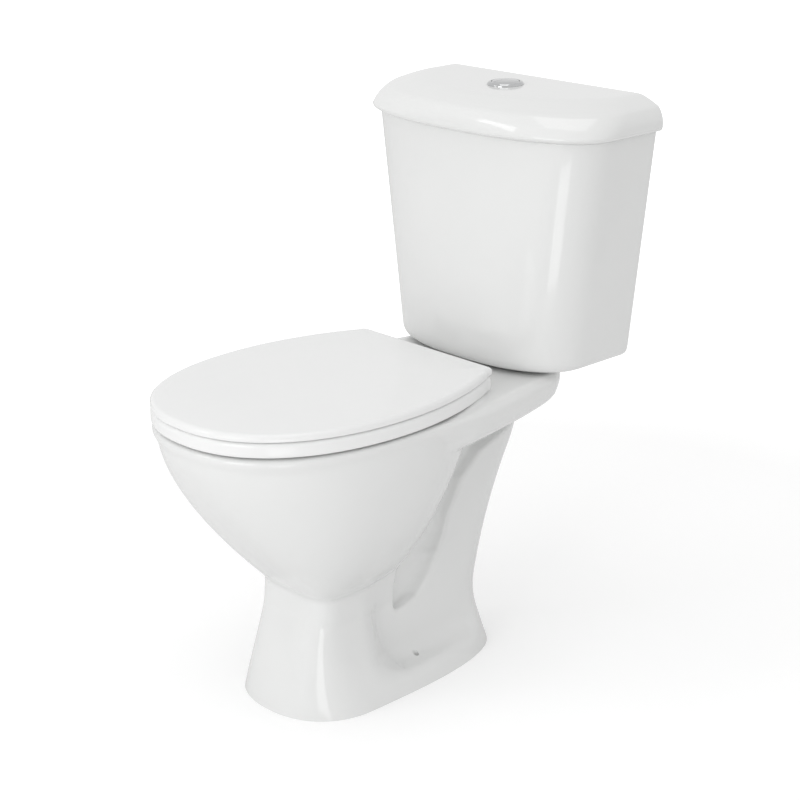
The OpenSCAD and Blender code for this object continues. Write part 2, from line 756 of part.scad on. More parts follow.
module cistern_lid() color(china) at_wall() difference() {
  rib_outer = lid_overhang + cistern_wall + lid_rib_clearance;
  rib_inner = rib_outer + lid_rib;
  band_inner = 8 + lid_band;
  top_inset = band_inner + lid_cove;
  ceiling = lid_height - lid_wall;
  loft([
    lid_ring(top_inset, ceiling, rib_inner - lid_overhang + 10),
    lid_ring(rib_inner + 16, ceiling - 3, rib_inner - lid_overhang + 2),
    lid_ring(rib_inner, ceiling - 12, rib_inner - lid_overhang),
    lid_ring(rib_inner, -lid_rib_depth, rib_inner - lid_overhang),
    lid_ring(rib_outer, -lid_rib_depth, rib_outer - lid_overhang),
    lid_ring(rib_outer, 0, rib_outer - lid_overhang),
    lid_ring(lid_overhang - 1, 0, 1),
    lid_ring(3, 1.6, 0),
    lid_ring(0.6, 4.5, 0),
    lid_ring(0, 9, 0),
    lid_ring(0.2, 14, 0),
    lid_ring(1.2, 20, 0),
    lid_ring(3.8, 26, 0),
    lid_ring(8, lid_height - 14, 0),
    lid_ring(mix(8, band_inner, 0.3), lid_height - 9.6, 0),
    lid_ring(mix(8, band_inner, 0.75), lid_height - 4.6, 0),
    lid_ring(band_inner, lid_height - 2.2, 0),
    lid_ring(band_inner + lid_cove * 0.5, lid_height - 1, 1),
    lid_ring(top_inset, lid_height - 0.3, 3),
    lid_ring(top_inset + 6, lid_height, 6)
  ]);
  translate([0, -button_setout, lid_base]) cylinder(d = bezel_hole, h = lid_height + 10);
}

// ---------- seat ----------

seat_corner = 9;
seat_side_power = 1.83; // bends the seat's sides in towards its back

// The seat's outline: an egg cut straight across at its back.
function seat_outline(inset, back_inset = 0) =
  let (
    half = seat_width / 2 - inset,
    back = seat_back + back_inset + inset,
    reach = seat_draw_in - inset,
    last = back + seat_corner,
    side_x = function (d) half * pow(1 - pow((rim_widest - d) / reach, seat_side_power), 1 / seat_side_power),
    side = [
      for (i = [1:side_steps])
        let (d = mix(rim_widest, last, i / side_steps))
          [side_x(d), -d]
    ],
    corner_x = side_x(last) - seat_corner * 0.75,
    turn = [for (a = [30, 60, 90]) [mix(corner_x, side_x(last), cos(a)), -last + seat_corner * sin(a)]],
    rest = [for (s = [2 / 3, 1 / 3]) [corner_x * s, -back]]
  )
  concat(
    front_curve(half, -rim_widest, seat_front - rim_widest - inset, rim_squareness),
    side, turn, rest, [[0, -back]], mirrored(rest), mirrored(turn), mirrored(side)
  );

// The seat's opening, with as many points as the outline.
function opening_outline(grow) =
  let (
    half = opening_width / 2 + grow,
    middle = (opening_front + opening_back) / 2 + 6,
    rear_points = 2 * (side_steps + 3 + 2) + 1
  )
  concat(
    front_curve(half, -middle, opening_front + grow - middle, 2.1),
    [for (i = [1:rear_points]) let (t = 180 * i / (rear_points + 1))
      [half * bent(cos(t), 2.1), -middle + (middle - opening_back + grow) * bent(sin(t), 2.1)]]
  );

notch_half = post_width / 2 + 2 * knuckle_width + 4;
notch_front = pin_inset + 14;

module seat_ring_body() loop_loft([
  level(opening_outline(4), ring_base + 1),
  level(seat_outline(7, ring_back_inset), ring_base),
  level(seat_outline(2, ring_back_inset), ring_base + 2),
  level(seat_outline(0, ring_back_inset), ring_base + 7),
  level(seat_outline(0, ring_back_inset), ring_top - 8),
  level(seat_outline(2, ring_back_inset), ring_top - 3),
  level(seat_outline(8, ring_back_inset), ring_top),
  level(opening_outline(16), ring_top - 2),
  level(opening_outline(3), ring_top - 6),
  level(opening_outline(0), ring_base + 7),
  level(opening_outline(1), ring_base + 3)
]);

// Places its children beside each hinge post, on both sides of it.
module beside_posts(from) {
  for (post = [-1, 1], side = [0, 1])
    translate([post * seat_hole_spacing / 2, 0, 0]) mirror([side, 0, 0]) translate([from, 0, 0]) children();
}
module pin_bore(length) translate([0, pin_y, pin_z]) rotate([0, 90, 0])
  cylinder(r = pin_radius + running_clearance, h = length, center = true);

ring_knuckle_from = post_width / 2 + seat_gap;
lid_knuckle_from = ring_knuckle_from + knuckle_width + seat_gap;

module seat_ring() color("white") at_wall() difference() {
  union() {
    difference() {
      seat_ring_body();
      both_sides(seat_hole_spacing / 2)
        translate([-notch_half, -seat_back - notch_front, ring_base - 1])
          cube([2 * notch_half, notch_front + 1, ring_thickness + 2]);
    }
    beside_posts(ring_knuckle_from) {
      translate([0, pin_y, pin_z]) rotate([0, 90, 0]) cylinder(r = knuckle_radius, h = knuckle_width);
      translate([0, -seat_back - notch_front - 1, pin_z - knuckle_radius])
        cube([knuckle_width, notch_front - pin_inset + 1, 2 * knuckle_radius - 1.5]);
    }
  }
  both_sides(seat_hole_spacing / 2) pin_bore(2 * lid_knuckle_from);
}

module seat_lid() color("white") at_wall() difference() {
  union() {
    loft([
      level(seat_outline(16), seat_lid_base + lid_thickness - lid_skin),
      level(seat_outline(lid_skin + 3), seat_lid_base + lid_thickness - lid_skin - 1),
      level(seat_outline(lid_skin + 1), seat_lid_base + 1),
      level(seat_outline(lid_skin), seat_lid_base),
      level(seat_outline(1.2), seat_lid_base),
      level(seat_outline(0), seat_lid_base + 2),
      level(seat_outline(0.6), seat_lid_base + lid_thickness * 0.55),
      level(seat_outline(2.6), seat_lid_base + lid_thickness * 0.8),
      level(seat_outline(6), seat_lid_base + lid_thickness * 0.95),
      level(seat_outline(12), seat_lid_base + lid_thickness),
      level(seat_outline(60), seat_lid_top + lid_crown)
    ]);
    beside_posts(lid_knuckle_from) {
      translate([0, pin_y, pin_z]) rotate([0, 90, 0]) cylinder(r = knuckle_radius, h = knuckle_width);
      translate([0, pin_y - knuckle_radius, pin_z])
        cube([knuckle_width, 2 * knuckle_radius, seat_lid_top - lid_skin + 1 - pin_z]);
    }
  }
  both_sides(seat_hole_spacing / 2) pin_bore(2 * (lid_knuckle_from + knuckle_width) + 2);
}

// Places its children at the four buffers, by distance from the wall.
module at_buffers(z) {
  both_sides(seat_width / 2 - side_buffer_inset)
    translate([0, -rim_widest - side_buffer_advance, z]) children();
  both_sides(seat_width / 2 - front_buffer_inset)
    translate([0, -seat_front + front_buffer_setback, z]) children();
}

module ring_buffers() color("white") at_wall()
  at_buffers(rim_height + seat_gap) cylinder(r = ring_buffer_radius, h = ring_lift - seat_gap);

module lid_buffers() color("white") at_wall() at_buffers(ring_top + seat_gap)
  cylinder(r = lid_buffer_radius, h = lid_lift - seat_gap + lid_thickness - lid_skin);

module hinge_posts() color("silver") at_wall() both_sides(seat_hole_spacing / 2) difference() {
  union() {
    translate([-post_width / 2, pin_y, pin_z])
      rotate([0, 90, 0]) cylinder(r = knuckle_radius, h = post_width);
    translate([-post_width / 2, pin_y - knuckle_radius + post_waist, rim_height + 1])
      cube([post_width, 2 * (knuckle_radius - post_waist), pin_height - 1]);
    translate([0, pin_y, rim_height]) cylinder(r = post_base_radius, h = post_base_height);
  }
  translate([0, pin_y, pin_z])
    rotate([0, 90, 0]) cylinder(r = pin_radius, h = post_width + 2, center = true);
  translate([0, pin_y, rim_height - 1]) cylinder(d = bolt_diameter, h = bolt_diameter + 1);
}

module hinge_pins() color("silver") at_wall() both_sides(seat_hole_spacing / 2)
  translate([0, pin_y, pin_z]) rotate([0, 90, 0])
    cylinder(r = pin_radius, h = 2 * (lid_knuckle_from + knuckle_width), center = true);

module seat_bolts() color("silver") at_wall() both_sides(seat_hole_spacing / 2)
  translate([0, seat_bolt_y, rim_height - seat_bolt_length])
    cylinder(d = bolt_diameter, h = seat_bolt_length + bolt_diameter);

module seat_washers() color("white") at_wall() both_sides(seat_hole_spacing / 2)
  translate([0, seat_bolt_y, seat_nut_face - seat_washer])
    ring_shape(washer_radius, bolt_radius, seat_washer);

module wing_nut(bore, z) translate([0, 0, z]) difference() {
  union() {
    cylinder(r = wing_nut_radius, h = wing_nut_height);
    both_sides(wing_reach) translate([-wing_length / 2, -wing_thickness / 2, -wing_drop])
      cube([wing_length, wing_thickness, wing_rise]);
  }
  translate([0, 0, -wing_drop - 1]) cylinder(d = bore, h = wing_rise + wing_nut_height);
}

module seat_wing_nuts() color("white") at_wall() both_sides(seat_hole_spacing / 2)
  translate([0, seat_bolt_y, 0]) wing_nut(bolt_diameter, seat_nut_face - seat_washer - wing_nut_height);

// ---------- buttons ----------

collar_radius = bezel_hole / 2 - seat_gap;
button_radius = collar_radius - bezel_wall - button_gap;
button_top = lid_top + bezel_height + button_dome;
button_thickness = 5;
button_slope = 1.6; // height of the sloping edge round the buttons
button_slope_width = 3.5;
bezel_edge = 0.8; // height of the bezel's upright edge
bezel_lip = 4; // from the bezel's edge in to its top
bezel_nut_height = 10;
bezel_nut_wall = 9;
bezel_notch = 4; // width of the notches round the nut
split_x = -button_radius + 2 * button_radius * half_share;
rod_x = rod_spacing / 2;
guide_thickness = 3;
rod_reach = button_travel + 8; // how far the rods stand below the top of the flush valve
rod_head = 4; // height of the rods' heads
rod_head_edge = 1.5; // how far the heads stand out

module at_button() at_wall() translate([0, -button_setout, 0]) children();

module button_bezel() color("silver") at_button() difference() {
  union() {
    translate([0, 0, lid_top]) rotate_extrude() polygon([
      [0, 0], [bezel_diameter / 2, 0], [bezel_diameter / 2, bezel_edge],
      [bezel_diameter / 2 - bezel_lip * 0.2, bezel_height * 0.5],
      [bezel_diameter / 2 - bezel_lip * 0.55, bezel_height * 0.85],
      [bezel_diameter / 2 - bezel_lip, bezel_height], [0, bezel_height]
    ]);
    translate([0, 0, lid_top - bezel_length]) cylinder(r = collar_radius, h = bezel_length + 1);
  }
  translate([0, 0, lid_top - bezel_length + guide_thickness])
    cylinder(r = collar_radius - bezel_wall, h = bezel_length + bezel_height);
  both_sides(rod_x) translate([0, 0, lid_top - bezel_length - 1])
    cylinder(d = rod_diameter + 2 * running_clearance, h = guide_thickness + 2);
}

module bezel_nut() color("white") at_button() difference() {
  base = lid_top - lid_wall - seat_gap - bezel_nut_height;
  translate([0, 0, base]) ring_shape(collar_radius + bezel_nut_wall, collar_radius, bezel_nut_height);
  for (i = [0:7])
    rotate([0, 0, 45 * i])
      translate([collar_radius + bezel_nut_wall - 1, -bezel_notch / 2, base - 1])
        cube([bezel_notch, bezel_notch, bezel_nut_height + 2]);
}

module button_part(low, high) intersection() {
  union() {
    translate([0, 0, button_top - button_thickness])
      cylinder(r = button_radius, h = button_thickness - button_slope);
    translate([0, 0, button_top - button_slope])
      cylinder(r1 = button_radius, r2 = button_radius - button_slope_width, h = button_slope);
  }
  translate([low, -button_radius - 1, button_top - button_thickness - 1])
    cube([high - low, 2 * button_radius + 2, button_thickness + 2]);
}

module half_flush_button() color("silver") at_button()
  button_part(-button_radius - 1, split_x - button_gap / 2);
module full_flush_button() color("silver") at_button()
  button_part(split_x + button_gap / 2, button_radius + 1);

rod_top = button_top - button_thickness;
rod_bottom = valve_floor + valve_height - rod_reach;

module push_rod(x) at_button() translate([x, 0, rod_bottom]) {
  cylinder(d = rod_diameter, h = rod_top - rod_bottom);
  translate([0, 0, rod_top - rod_bottom - rod_head])
    cylinder(d = rod_diameter + 2 * rod_head_edge, h = rod_head);
}
module half_flush_rod() color("white") push_rod(-rod_x);
module full_flush_rod() color("white") push_rod(rod_x);

// ---------- flush valve ----------

thread_radius = valve_hole / 2 - 1;
backnut_radius = thread_radius + 8;
backnut_height = 9;
tail_length = backnut_height + 2;
cap_thickness = 6;
seal_thickness = 3;
valve_washer = 3; // thickness of the washers on the cistern's floor
valve_flange = 4; // thickness of the flush valve's flange
valve_flange_edge = 9; // how far that flange stands out from the thread
outlet_radius = 24; // of the bore down through the flush valve
window_width = 18; // of the openings in the cage
window_height = 4 * valve_lift;
socket_wall = 7; // from a push rod's middle to the edge of the cap's arm
valve_plate = 3; // thickness of the two plates on the lift tube
plate_height = 70; // of the upper plate above the seal
seat_ring_height = 12;
cage_height = valve_height - cap_thickness - seat_ring_height;

module at_valve() at_wall() translate([0, -inlet_setout, 0]) children();

module flush_valve_body() color("lightgray") at_valve() difference() {
  union() {
    translate([0, 0, cistern_base - tail_length])
      cylinder(r = thread_radius, h = tail_length + cistern_floor + valve_washer);
    translate([0, 0, valve_floor + valve_washer])
      cylinder(r = thread_radius + valve_flange_edge, h = valve_flange);
    translate([0, 0, valve_floor + valve_washer])
      cylinder(r = tower_radius, h = seat_ring_height - valve_washer + cage_height);
  }
  translate([0, 0, cistern_base - tail_length - 1])
    cylinder(r = outlet_radius, h = tail_length + cistern_floor + seat_ring_height + 2);
  translate([0, 0, valve_floor + seat_ring_height])
    cylinder(r = tower_radius - plastic_wall, h = cage_height + 1);
  for (i = [0:3])
    rotate([0, 0, 45 + 90 * i])
      translate([0, -window_width / 2, valve_floor + seat_ring_height])
        cube([tower_radius + 5, window_width, window_height]);
}

// The cap sits over the cage; the rods run in its sockets, which stand under the buttons.
module flush_valve_cap() color("royalblue") at_wall() {
  base = valve_floor + valve_height - cap_thickness;
  difference() {
    union() {
      translate([0, -inlet_setout, base]) cylinder(r = tower_radius, h = cap_thickness);
      translate([-rod_x - socket_wall, -inlet_setout, base])
        cube([2 * (rod_x + socket_wall), inlet_setout - button_setout + socket_wall, cap_thickness]);
    }
    translate([0, -inlet_setout, base - 1]) cylinder(r = tube_radius + 1, h = cap_thickness + 2);
    both_sides(rod_x) translate([0, -button_setout, base - 1])
      cylinder(d = rod_diameter + 2 * running_clearance, h = cap_thickness + 2);
  }
}

module flush_valve_tube() color("white") at_valve()
  translate([0, 0, valve_floor + seat_ring_height + seat_gap]) difference() {
    union() {
      cylinder(r = tube_radius, h = valve_height - seat_ring_height + 4);
      translate([0, 0, seal_thickness]) cylinder(r = outlet_radius, h = valve_plate);
      translate([0, 0, plate_height]) cylinder(r = tower_radius - plastic_wall - 2, h = valve_plate);
    }
    translate([0, 0, -1]) cylinder(r = tube_radius - plastic_wall, h = valve_height + 10);
  }

module flush_valve_seal() color("dimgray") at_valve()
  translate([0, 0, valve_floor + seat_ring_height + seat_gap])
    ring_shape(outlet_radius + 4, tube_radius, seal_thickness);

module flush_valve_washer() color("dimgray") at_valve()
  translate([0, 0, valve_floor])
    ring_shape(thread_radius + valve_flange_edge, thread_radius, valve_washer);

module flush_valve_backnut() color("white") at_valve() difference() {
  translate([0, 0, cistern_base - backnut_height])
    cylinder(r = backnut_radius, h = backnut_height, $fn = 8);
  translate([0, 0, cistern_base - backnut_height - 1])
    cylinder(r = thread_radius, h = backnut_height + 2);
}

// ---------- close coupling ----------

// The gasket stands round the backnut in the pan's counterbore and is squeezed down on the inlet.
gasket_depth = coupling_gap + inlet_recess_depth;
gasket_web = 3; // thickness of the gasket under the backnut
gasket_spout = 8; // how far it reaches down into the inlet
module coupling_gasket() color("dimgray") at_valve()
  translate([0, 0, cistern_base]) rotate_extrude() polygon([
    [backnut_radius + 0.5, 0], [inlet_recess / 2 - seat_gap, 0],
    [inlet_recess / 2 - seat_gap, -gasket_depth], [inlet_bore / 2 - 1, -gasket_depth],
    [inlet_bore / 2 - 4, -gasket_depth - gasket_spout],
    [inlet_bore / 2 - 4 - gasket_web, -gasket_depth - gasket_spout],
    [inlet_bore / 2 - 5, -gasket_depth + gasket_web],
    [backnut_radius + 0.5, -gasket_depth + gasket_web]
  ]);

coupling_washer = 2; // thickness of the washers under the deck
coupling_rubber = 5; // thickness of the rubbers in the cistern
coupling_tail = 20; // of the bolts below their washers
bolt_head_radius = 8;
bolt_head = 4; // height of the bolts' heads
bolt_nut_z = deck_underside + under_rise(-inlet_setout) - coupling_washer;

module at_bolts() at_wall()
  both_sides(coupling_spacing / 2) translate([0, -inlet_setout, 0]) children();

module coupling_bolts() color("silver") at_bolts() {
  translate([0, 0, bolt_nut_z - coupling_tail])
    cylinder(r = bolt_radius, h = valve_floor + coupling_rubber - bolt_nut_z + coupling_tail);
  translate([0, 0, valve_floor + coupling_rubber]) cylinder(r = bolt_head_radius, h = bolt_head);
}
module coupling_rubbers() color("dimgray") at_bolts()
  translate([0, 0, valve_floor]) ring_shape(bolt_head_radius + 4, bolt_radius, coupling_rubber);
module coupling_washers() color("silver") at_bolts()
  translate([0, 0, bolt_nut_z]) ring_shape(washer_radius, bolt_radius, coupling_washer);
module coupling_wing_nuts() color("silver") at_bolts() wing_nut(bolt_diameter, bolt_nut_z - wing_nut_height);

// ---------- fill valve ----------

stop_height = 45; // of the collar that the float rests on
column_height = stop_height + float_height + float_travel + stop_height;
stop_edge = 5; // thickness of that collar, and how far it stands out
float_rest = valve_floor + stop_height;
head_radius = 20; // of the valve's head
head_height = 14;
head_dome = 5; // height of the sloping part above it
arm_reach = 44;
arm_width = 18;
arm_height = 9;
float_wall = 2;
flange_thickness = 5; // of the flange on the washer
neck_radius = shank_diameter / 2 + shank_neck;
shank_flange = 16; // radius of the flange that sits on the washer
shank_nut = 8; // height of the nut under the cistern

module at_shank() at_wall() translate([-shank_x, -shank_setout, 0]) children();

module fill_valve_body() color("white") at_shank() difference() {
  union() {
    translate([0, 0, cistern_base - shank_length]) cylinder(d = shank_diameter, h = shank_length);
    translate([0, 0, cistern_base - shank_nut])
      cylinder(r = neck_radius, h = shank_nut + cistern_floor + valve_washer + 1);
    translate([0, 0, valve_floor + valve_washer]) cylinder(r = shank_flange, h = flange_thickness);
    translate([0, 0, valve_floor + valve_washer]) cylinder(r = column_radius, h = column_height);
    translate([0, 0, float_rest - stop_edge - seat_gap])
      cylinder(r = column_radius + stop_edge, h = stop_edge);
  }
  translate([0, 0, cistern_base - shank_length - 1])
    cylinder(r = column_radius / 2, h = shank_length + cistern_floor + column_height * 0.8);
}

module fill_valve_head() color("white") at_shank()
  translate([0, 0, valve_floor + valve_washer + column_height]) {
    cylinder(r = head_radius, h = head_height);
    translate([0, 0, head_height])
      cylinder(r1 = head_radius, r2 = head_radius - head_dome - 1, h = head_dome);
    translate([0, -arm_width / 2, 0]) cube([arm_reach, arm_width, arm_height]);
  }

module fill_valve_float() color("royalblue") at_shank() translate([0, 0, float_rest]) difference() {
  cylinder(r = float_radius, h = float_height);
  translate([0, 0, -1]) cylinder(r = column_radius + 0.5, h = float_height + 2);
  translate([0, 0, -1])
    ring_shape(float_radius - float_wall, column_radius + float_wall + 1, float_height - float_wall);
}

module fill_valve_washer() color("dimgray") at_shank()
  translate([0, 0, valve_floor]) ring_shape(shank_flange, neck_radius, valve_washer);

module fill_valve_backnut() color("white") at_shank() difference() {
  translate([0, 0, cistern_base - shank_nut]) cylinder(r = shank_flange + 1, h = shank_nut, $fn = 6);
  translate([0, 0, cistern_base - shank_nut - 1]) cylinder(r = neck_radius, h = shank_nut + 2);
}

pan_rim();
pan_bowl();
pan_foot();
cistern();
cistern_lid();
seat_ring();
seat_lid();
ring_buffers();
lid_buffers();
hinge_posts();
hinge_pins();
seat_bolts();
seat_washers();
seat_wing_nuts();
button_bezel();
bezel_nut();
half_flush_button();
full_flush_button();
half_flush_rod();
full_flush_rod();
flush_valve_body();
flush_valve_cap();
flush_valve_tube();
flush_valve_seal();
flush_valve_washer();
flush_valve_backnut();
coupling_gasket();
coupling_bolts();
coupling_rubbers();
coupling_washers();
coupling_wing_nuts();
fill_valve_body();
fill_valve_head();
fill_valve_float();
fill_valve_washer();
fill_valve_backnut();
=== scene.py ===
"""Finished looks of a close coupled toilet, built round its packed construction model.

Every piece is made in metres, in the model's own frame: the origin is the centre
of the floor outlet, the front faces -Y and +Z is up. The shapes themselves are worked
out in millimetres, as x, the distance forwards from the cistern's flat back, and height.
"""

import json
import logging
import math
from dataclasses import dataclass
from enum import Enum
from itertools import product
from typing import Any, Callable, Dict, List, NamedTuple, Optional, Sequence, Tuple

import bmesh
import bpy
import numpy as np
from mathutils import Matrix, Vector

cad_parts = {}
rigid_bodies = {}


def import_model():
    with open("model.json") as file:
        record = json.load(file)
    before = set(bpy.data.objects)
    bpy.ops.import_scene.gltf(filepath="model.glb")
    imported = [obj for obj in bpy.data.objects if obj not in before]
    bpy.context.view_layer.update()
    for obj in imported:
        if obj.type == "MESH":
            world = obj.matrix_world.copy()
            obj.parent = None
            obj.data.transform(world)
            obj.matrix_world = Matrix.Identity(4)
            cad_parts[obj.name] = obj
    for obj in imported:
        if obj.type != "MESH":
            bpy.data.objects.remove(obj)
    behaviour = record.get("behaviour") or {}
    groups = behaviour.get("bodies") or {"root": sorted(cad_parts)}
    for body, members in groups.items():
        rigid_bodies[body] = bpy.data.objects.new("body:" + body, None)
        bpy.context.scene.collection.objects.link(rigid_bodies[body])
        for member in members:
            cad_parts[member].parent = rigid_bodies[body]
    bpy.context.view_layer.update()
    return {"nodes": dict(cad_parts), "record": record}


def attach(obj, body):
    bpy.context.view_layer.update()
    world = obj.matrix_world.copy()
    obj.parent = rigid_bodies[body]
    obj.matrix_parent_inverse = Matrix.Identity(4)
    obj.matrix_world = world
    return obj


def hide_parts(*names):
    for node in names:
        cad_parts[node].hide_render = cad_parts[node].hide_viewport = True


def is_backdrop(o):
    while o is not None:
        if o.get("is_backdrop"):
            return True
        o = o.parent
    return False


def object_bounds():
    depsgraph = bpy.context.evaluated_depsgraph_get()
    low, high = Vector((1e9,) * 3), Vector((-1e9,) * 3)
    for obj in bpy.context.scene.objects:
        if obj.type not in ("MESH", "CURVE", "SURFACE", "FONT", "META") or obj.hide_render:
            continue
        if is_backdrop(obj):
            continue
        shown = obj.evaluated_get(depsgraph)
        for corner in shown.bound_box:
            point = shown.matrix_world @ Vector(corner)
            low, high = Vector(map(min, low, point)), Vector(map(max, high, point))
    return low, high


LOG = logging.getLogger("toilet")
MM = 0.001
WHITE = (1.0, 1.0, 1.0, 1.0)

# Places in millimetres that several sub-assemblies share.
WALL = 250.0  # the floor outlet's distance from the cistern's back
RIM = 401.0  # height of the pan's rim and deck
SEAT_BASE, SEAT_TOP = 404.5, 424.5  # the seat ring's underside and top
TANK_BASE, TANK_FLOOR = 405.0, 415.0  # the cistern's underside and its floor inside
LID_TOP = 771.3  # the flat top of the cistern's lid
INLET_D = 112.0  # distance of the flush inlet and the coupling bolts
COUPLING_X, BOLT_BORE = 75.0, 5.5  # the coupling bolts and the radius of their holes
HINGE_X, HINGE_D = 77.5, 236.0  # the hinge posts
BUTTON_D, BUTTON_BORE = 76.0, 22.0  # the buttons and the radius of the lid's hole
ROD_X, ROD_RADIUS = 10.0, 2.5  # the push rods

Array = np.ndarray
Thing = bpy.types.Object
Colour = Tuple[float, float, float]
Rings = List[Array]
Faces = List[Tuple[int, ...]]
Solid = Tuple[Array, Faces]


# ---------- shader maths ----------


def arithmetic(operation: str, reflected: bool = False) -> Callable[["Wire", Any], "Wire"]:
    """Makes one of a wire's operators.

    Args:
        operation: the Math node's operation.
        reflected: True where the wire stands on the right.

    Returns:
        The method.
    """

    def method(self: "Wire", other: Any) -> "Wire":
        """Adds the Math node."""
        pair = (other, self) if reflected else (self, other)
        return wire(self.tree, "ShaderNodeMath", {"operation": operation}, dict(enumerate(pair)))

    return method


class Wire:
    """A node's output that can be used in ordinary arithmetic."""

    __add__ = __radd__ = arithmetic("ADD")
    __sub__ = arithmetic("SUBTRACT")
    __rsub__ = arithmetic("SUBTRACT", reflected=True)
    __mul__ = __rmul__ = arithmetic("MULTIPLY")
    __truediv__ = arithmetic("DIVIDE")

    def __init__(self, tree: bpy.types.NodeTree, socket: bpy.types.NodeSocket) -> None:
        """Keeps the socket together with the tree that it belongs to."""
        self.tree, self.socket = tree, socket

    def feed(self, target: bpy.types.NodeSocket) -> None:
        """Links the wire to another node's input."""
        self.tree.links.new(self.socket, target)

    def clamp(self) -> "Wire":
        """The value held between 0 and 1."""
        return wire(self.tree, "ShaderNodeClamp", {}, {0: self})


def wire(
    tree: bpy.types.NodeTree, kind: str, settings: Dict[str, Any], inputs: Dict[Any, Any], output: Any = 0
) -> Wire:
    """Adds any node, sets it up and fills its sockets.

    Args:
        tree: the node tree.
        kind: the node's type name.
        settings: the node's own settings, set before its sockets.
        inputs: numbers, colours or wires by socket name or index.
        output: name or index of the socket to hand back.

    Returns:
        The chosen output.
    """
    node = tree.nodes.new(kind)
    for name, value in settings.items():
        setattr(node, name, value)
    for name, value in inputs.items():
        if isinstance(value, Wire):
            value.feed(node.inputs[name])
        else:
            node.inputs[name].default_value = value
    return Wire(tree, node.outputs[output])


# ---------- finishes ----------


class Slot(Enum):
    """The record's material slots."""

    CHINA = "china"
    SEAT = "seat_plastic"
    BUFFER = "buffer_plastic"
    CHROME = "chrome"
    STEEL = "steel"
    PLASTIC = "white_plastic"
    BLUE = "blue_plastic"
    GREY = "valve_plastic"
    RUBBER = "rubber"


class Coat:
    """A material in the making, which reads the piece's own coordinates."""

    def __init__(self, name: str, colour: Colour) -> None:
        """Starts with a plain shader.

        Args:
            name: the material's name.
            colour: its main colour, set for the solid view too.
        """
        self.material = bpy.data.materials.new(name)
        self.material.use_nodes = True
        self.material.diffuse_color = (*colour, 1.0)
        self.colour = colour
        self.tree = self.material.node_tree
        self.shader = self.tree.nodes["Principled BSDF"].inputs
        self.place = wire(self.tree, "ShaderNodeTexCoord", {}, {}, "Object")

    def noise(self, scale: float, detail: float = 2.0, rough: float = 0.5) -> Wire:
        """Smooth noise between about 0 and 1.

        Args:
            scale: blobs to the metre.
            detail: octaves.
            rough: share of the finer octaves.

        Returns:
            The noise value.
        """
        values = {"Vector": self.place, "Scale": scale, "Detail": detail, "Roughness": rough}
        return wire(self.tree, "ShaderNodeTexNoise", {}, values)

    def gloss(self, noise: Wire, spread: float, roughness: float) -> None:
        """Varies the roughness upwards with a noise."""
        (noise * spread + roughness).feed(self.shader["Roughness"])

    def tint(self, mask: Wire, other: Colour) -> None:
        """Blends the base colour towards another one.

        Args:
            mask: 0 for the main colour, 1 for the other.
            other: the other colour.
        """
        colours = {"Factor": mask, 6: (*self.colour, 1.0), 7: (*other, 1.0)}
        wire(self.tree, "ShaderNodeMix", {"data_type": "RGBA"}, colours, 2).feed(self.shader["Base Color"])

    def emboss(self, height: Wire, depth: float, strength: float = 1.0) -> None:
        """Turns a height into the shader's normal.

        Args:
            height: the height, in units of the depth.
            depth: how deep a height of 1 is, in metres.
            strength: the Bump node's strength.
        """
        values = {"Strength": strength, "Distance": depth, "Height": height}
        wire(self.tree, "ShaderNodeBump", {}, values).feed(self.shader["Normal"])


@dataclass(frozen=True)
class Finish:
    """A surface finish; each kind overrides dress()."""

    name: str
    slot: Slot
    colour: Colour
    roughness: float

    def build(self) -> bpy.types.Material:
        """Makes the material.

        Returns:
            The finished material.
        """
        coat = Coat(self.name, self.colour)
        coat.shader["Roughness"].default_value = self.roughness
        self.dress(coat)
        return coat.material

    def dress(self, coat: Coat) -> None:
        """Adds this finish's own detail to its coat."""
        raise NotImplementedError


@dataclass(frozen=True)
class GlazedChina(Finish):
    """Vitreous china under a thick glossy glaze, with its faint orange peel and pooling."""

    pooled: Colour = (0.755, 0.762, 0.755)
    peel: float = 0.00006

    def dress(self, coat: Coat) -> None:
        """Adds the glaze: slow tone changes, rare specks, soft waves and a hard clear coat.

        Args:
            coat: the material in the making.
        """
        pooling = coat.noise(5.0, 3.0, 0.55)
        specks = (coat.noise(900.0, 1.0) - 0.80) * 14.0
        tone = ((pooling - 0.35) * 0.9).clamp() + specks.clamp() * 0.35
        coat.tint(tone.clamp(), self.pooled)
        coat.gloss(coat.noise(22.0, 3.0), 0.06, self.roughness - 0.03)
        peel = coat.noise(140.0, 2.0) * 0.4 + coat.noise(26.0, 1.0) * 1.8
        coat.emboss(peel, self.peel)
        for socket, value in (("Coat Weight", 0.35), ("Coat Roughness", 0.03), ("IOR", 1.52)):
            coat.shader[socket].default_value = value


@dataclass(frozen=True)
class GlossMoulding(Finish):
    """Pressed thermoset plastic with a polished skin, as used for seats."""

    shade: Colour = (0.825, 0.83, 0.828)

    def dress(self, coat: Coat) -> None:
        """Adds flow marks, a fine skin texture and slight wear in the gloss.

        Args:
            coat: the material in the making.
        """
        flow = coat.noise(9.0, 4.0, 0.6)
        coat.tint(((flow - 0.4) * 0.8).clamp(), self.shade)
        coat.gloss(coat.noise(45.0, 4.0, 0.7), 0.10, self.roughness - 0.05)
        coat.emboss(coat.noise(1400.0, 2.0) * 0.25 + coat.noise(60.0, 1.0), 0.00004)
        coat.shader["IOR"].default_value = 1.49


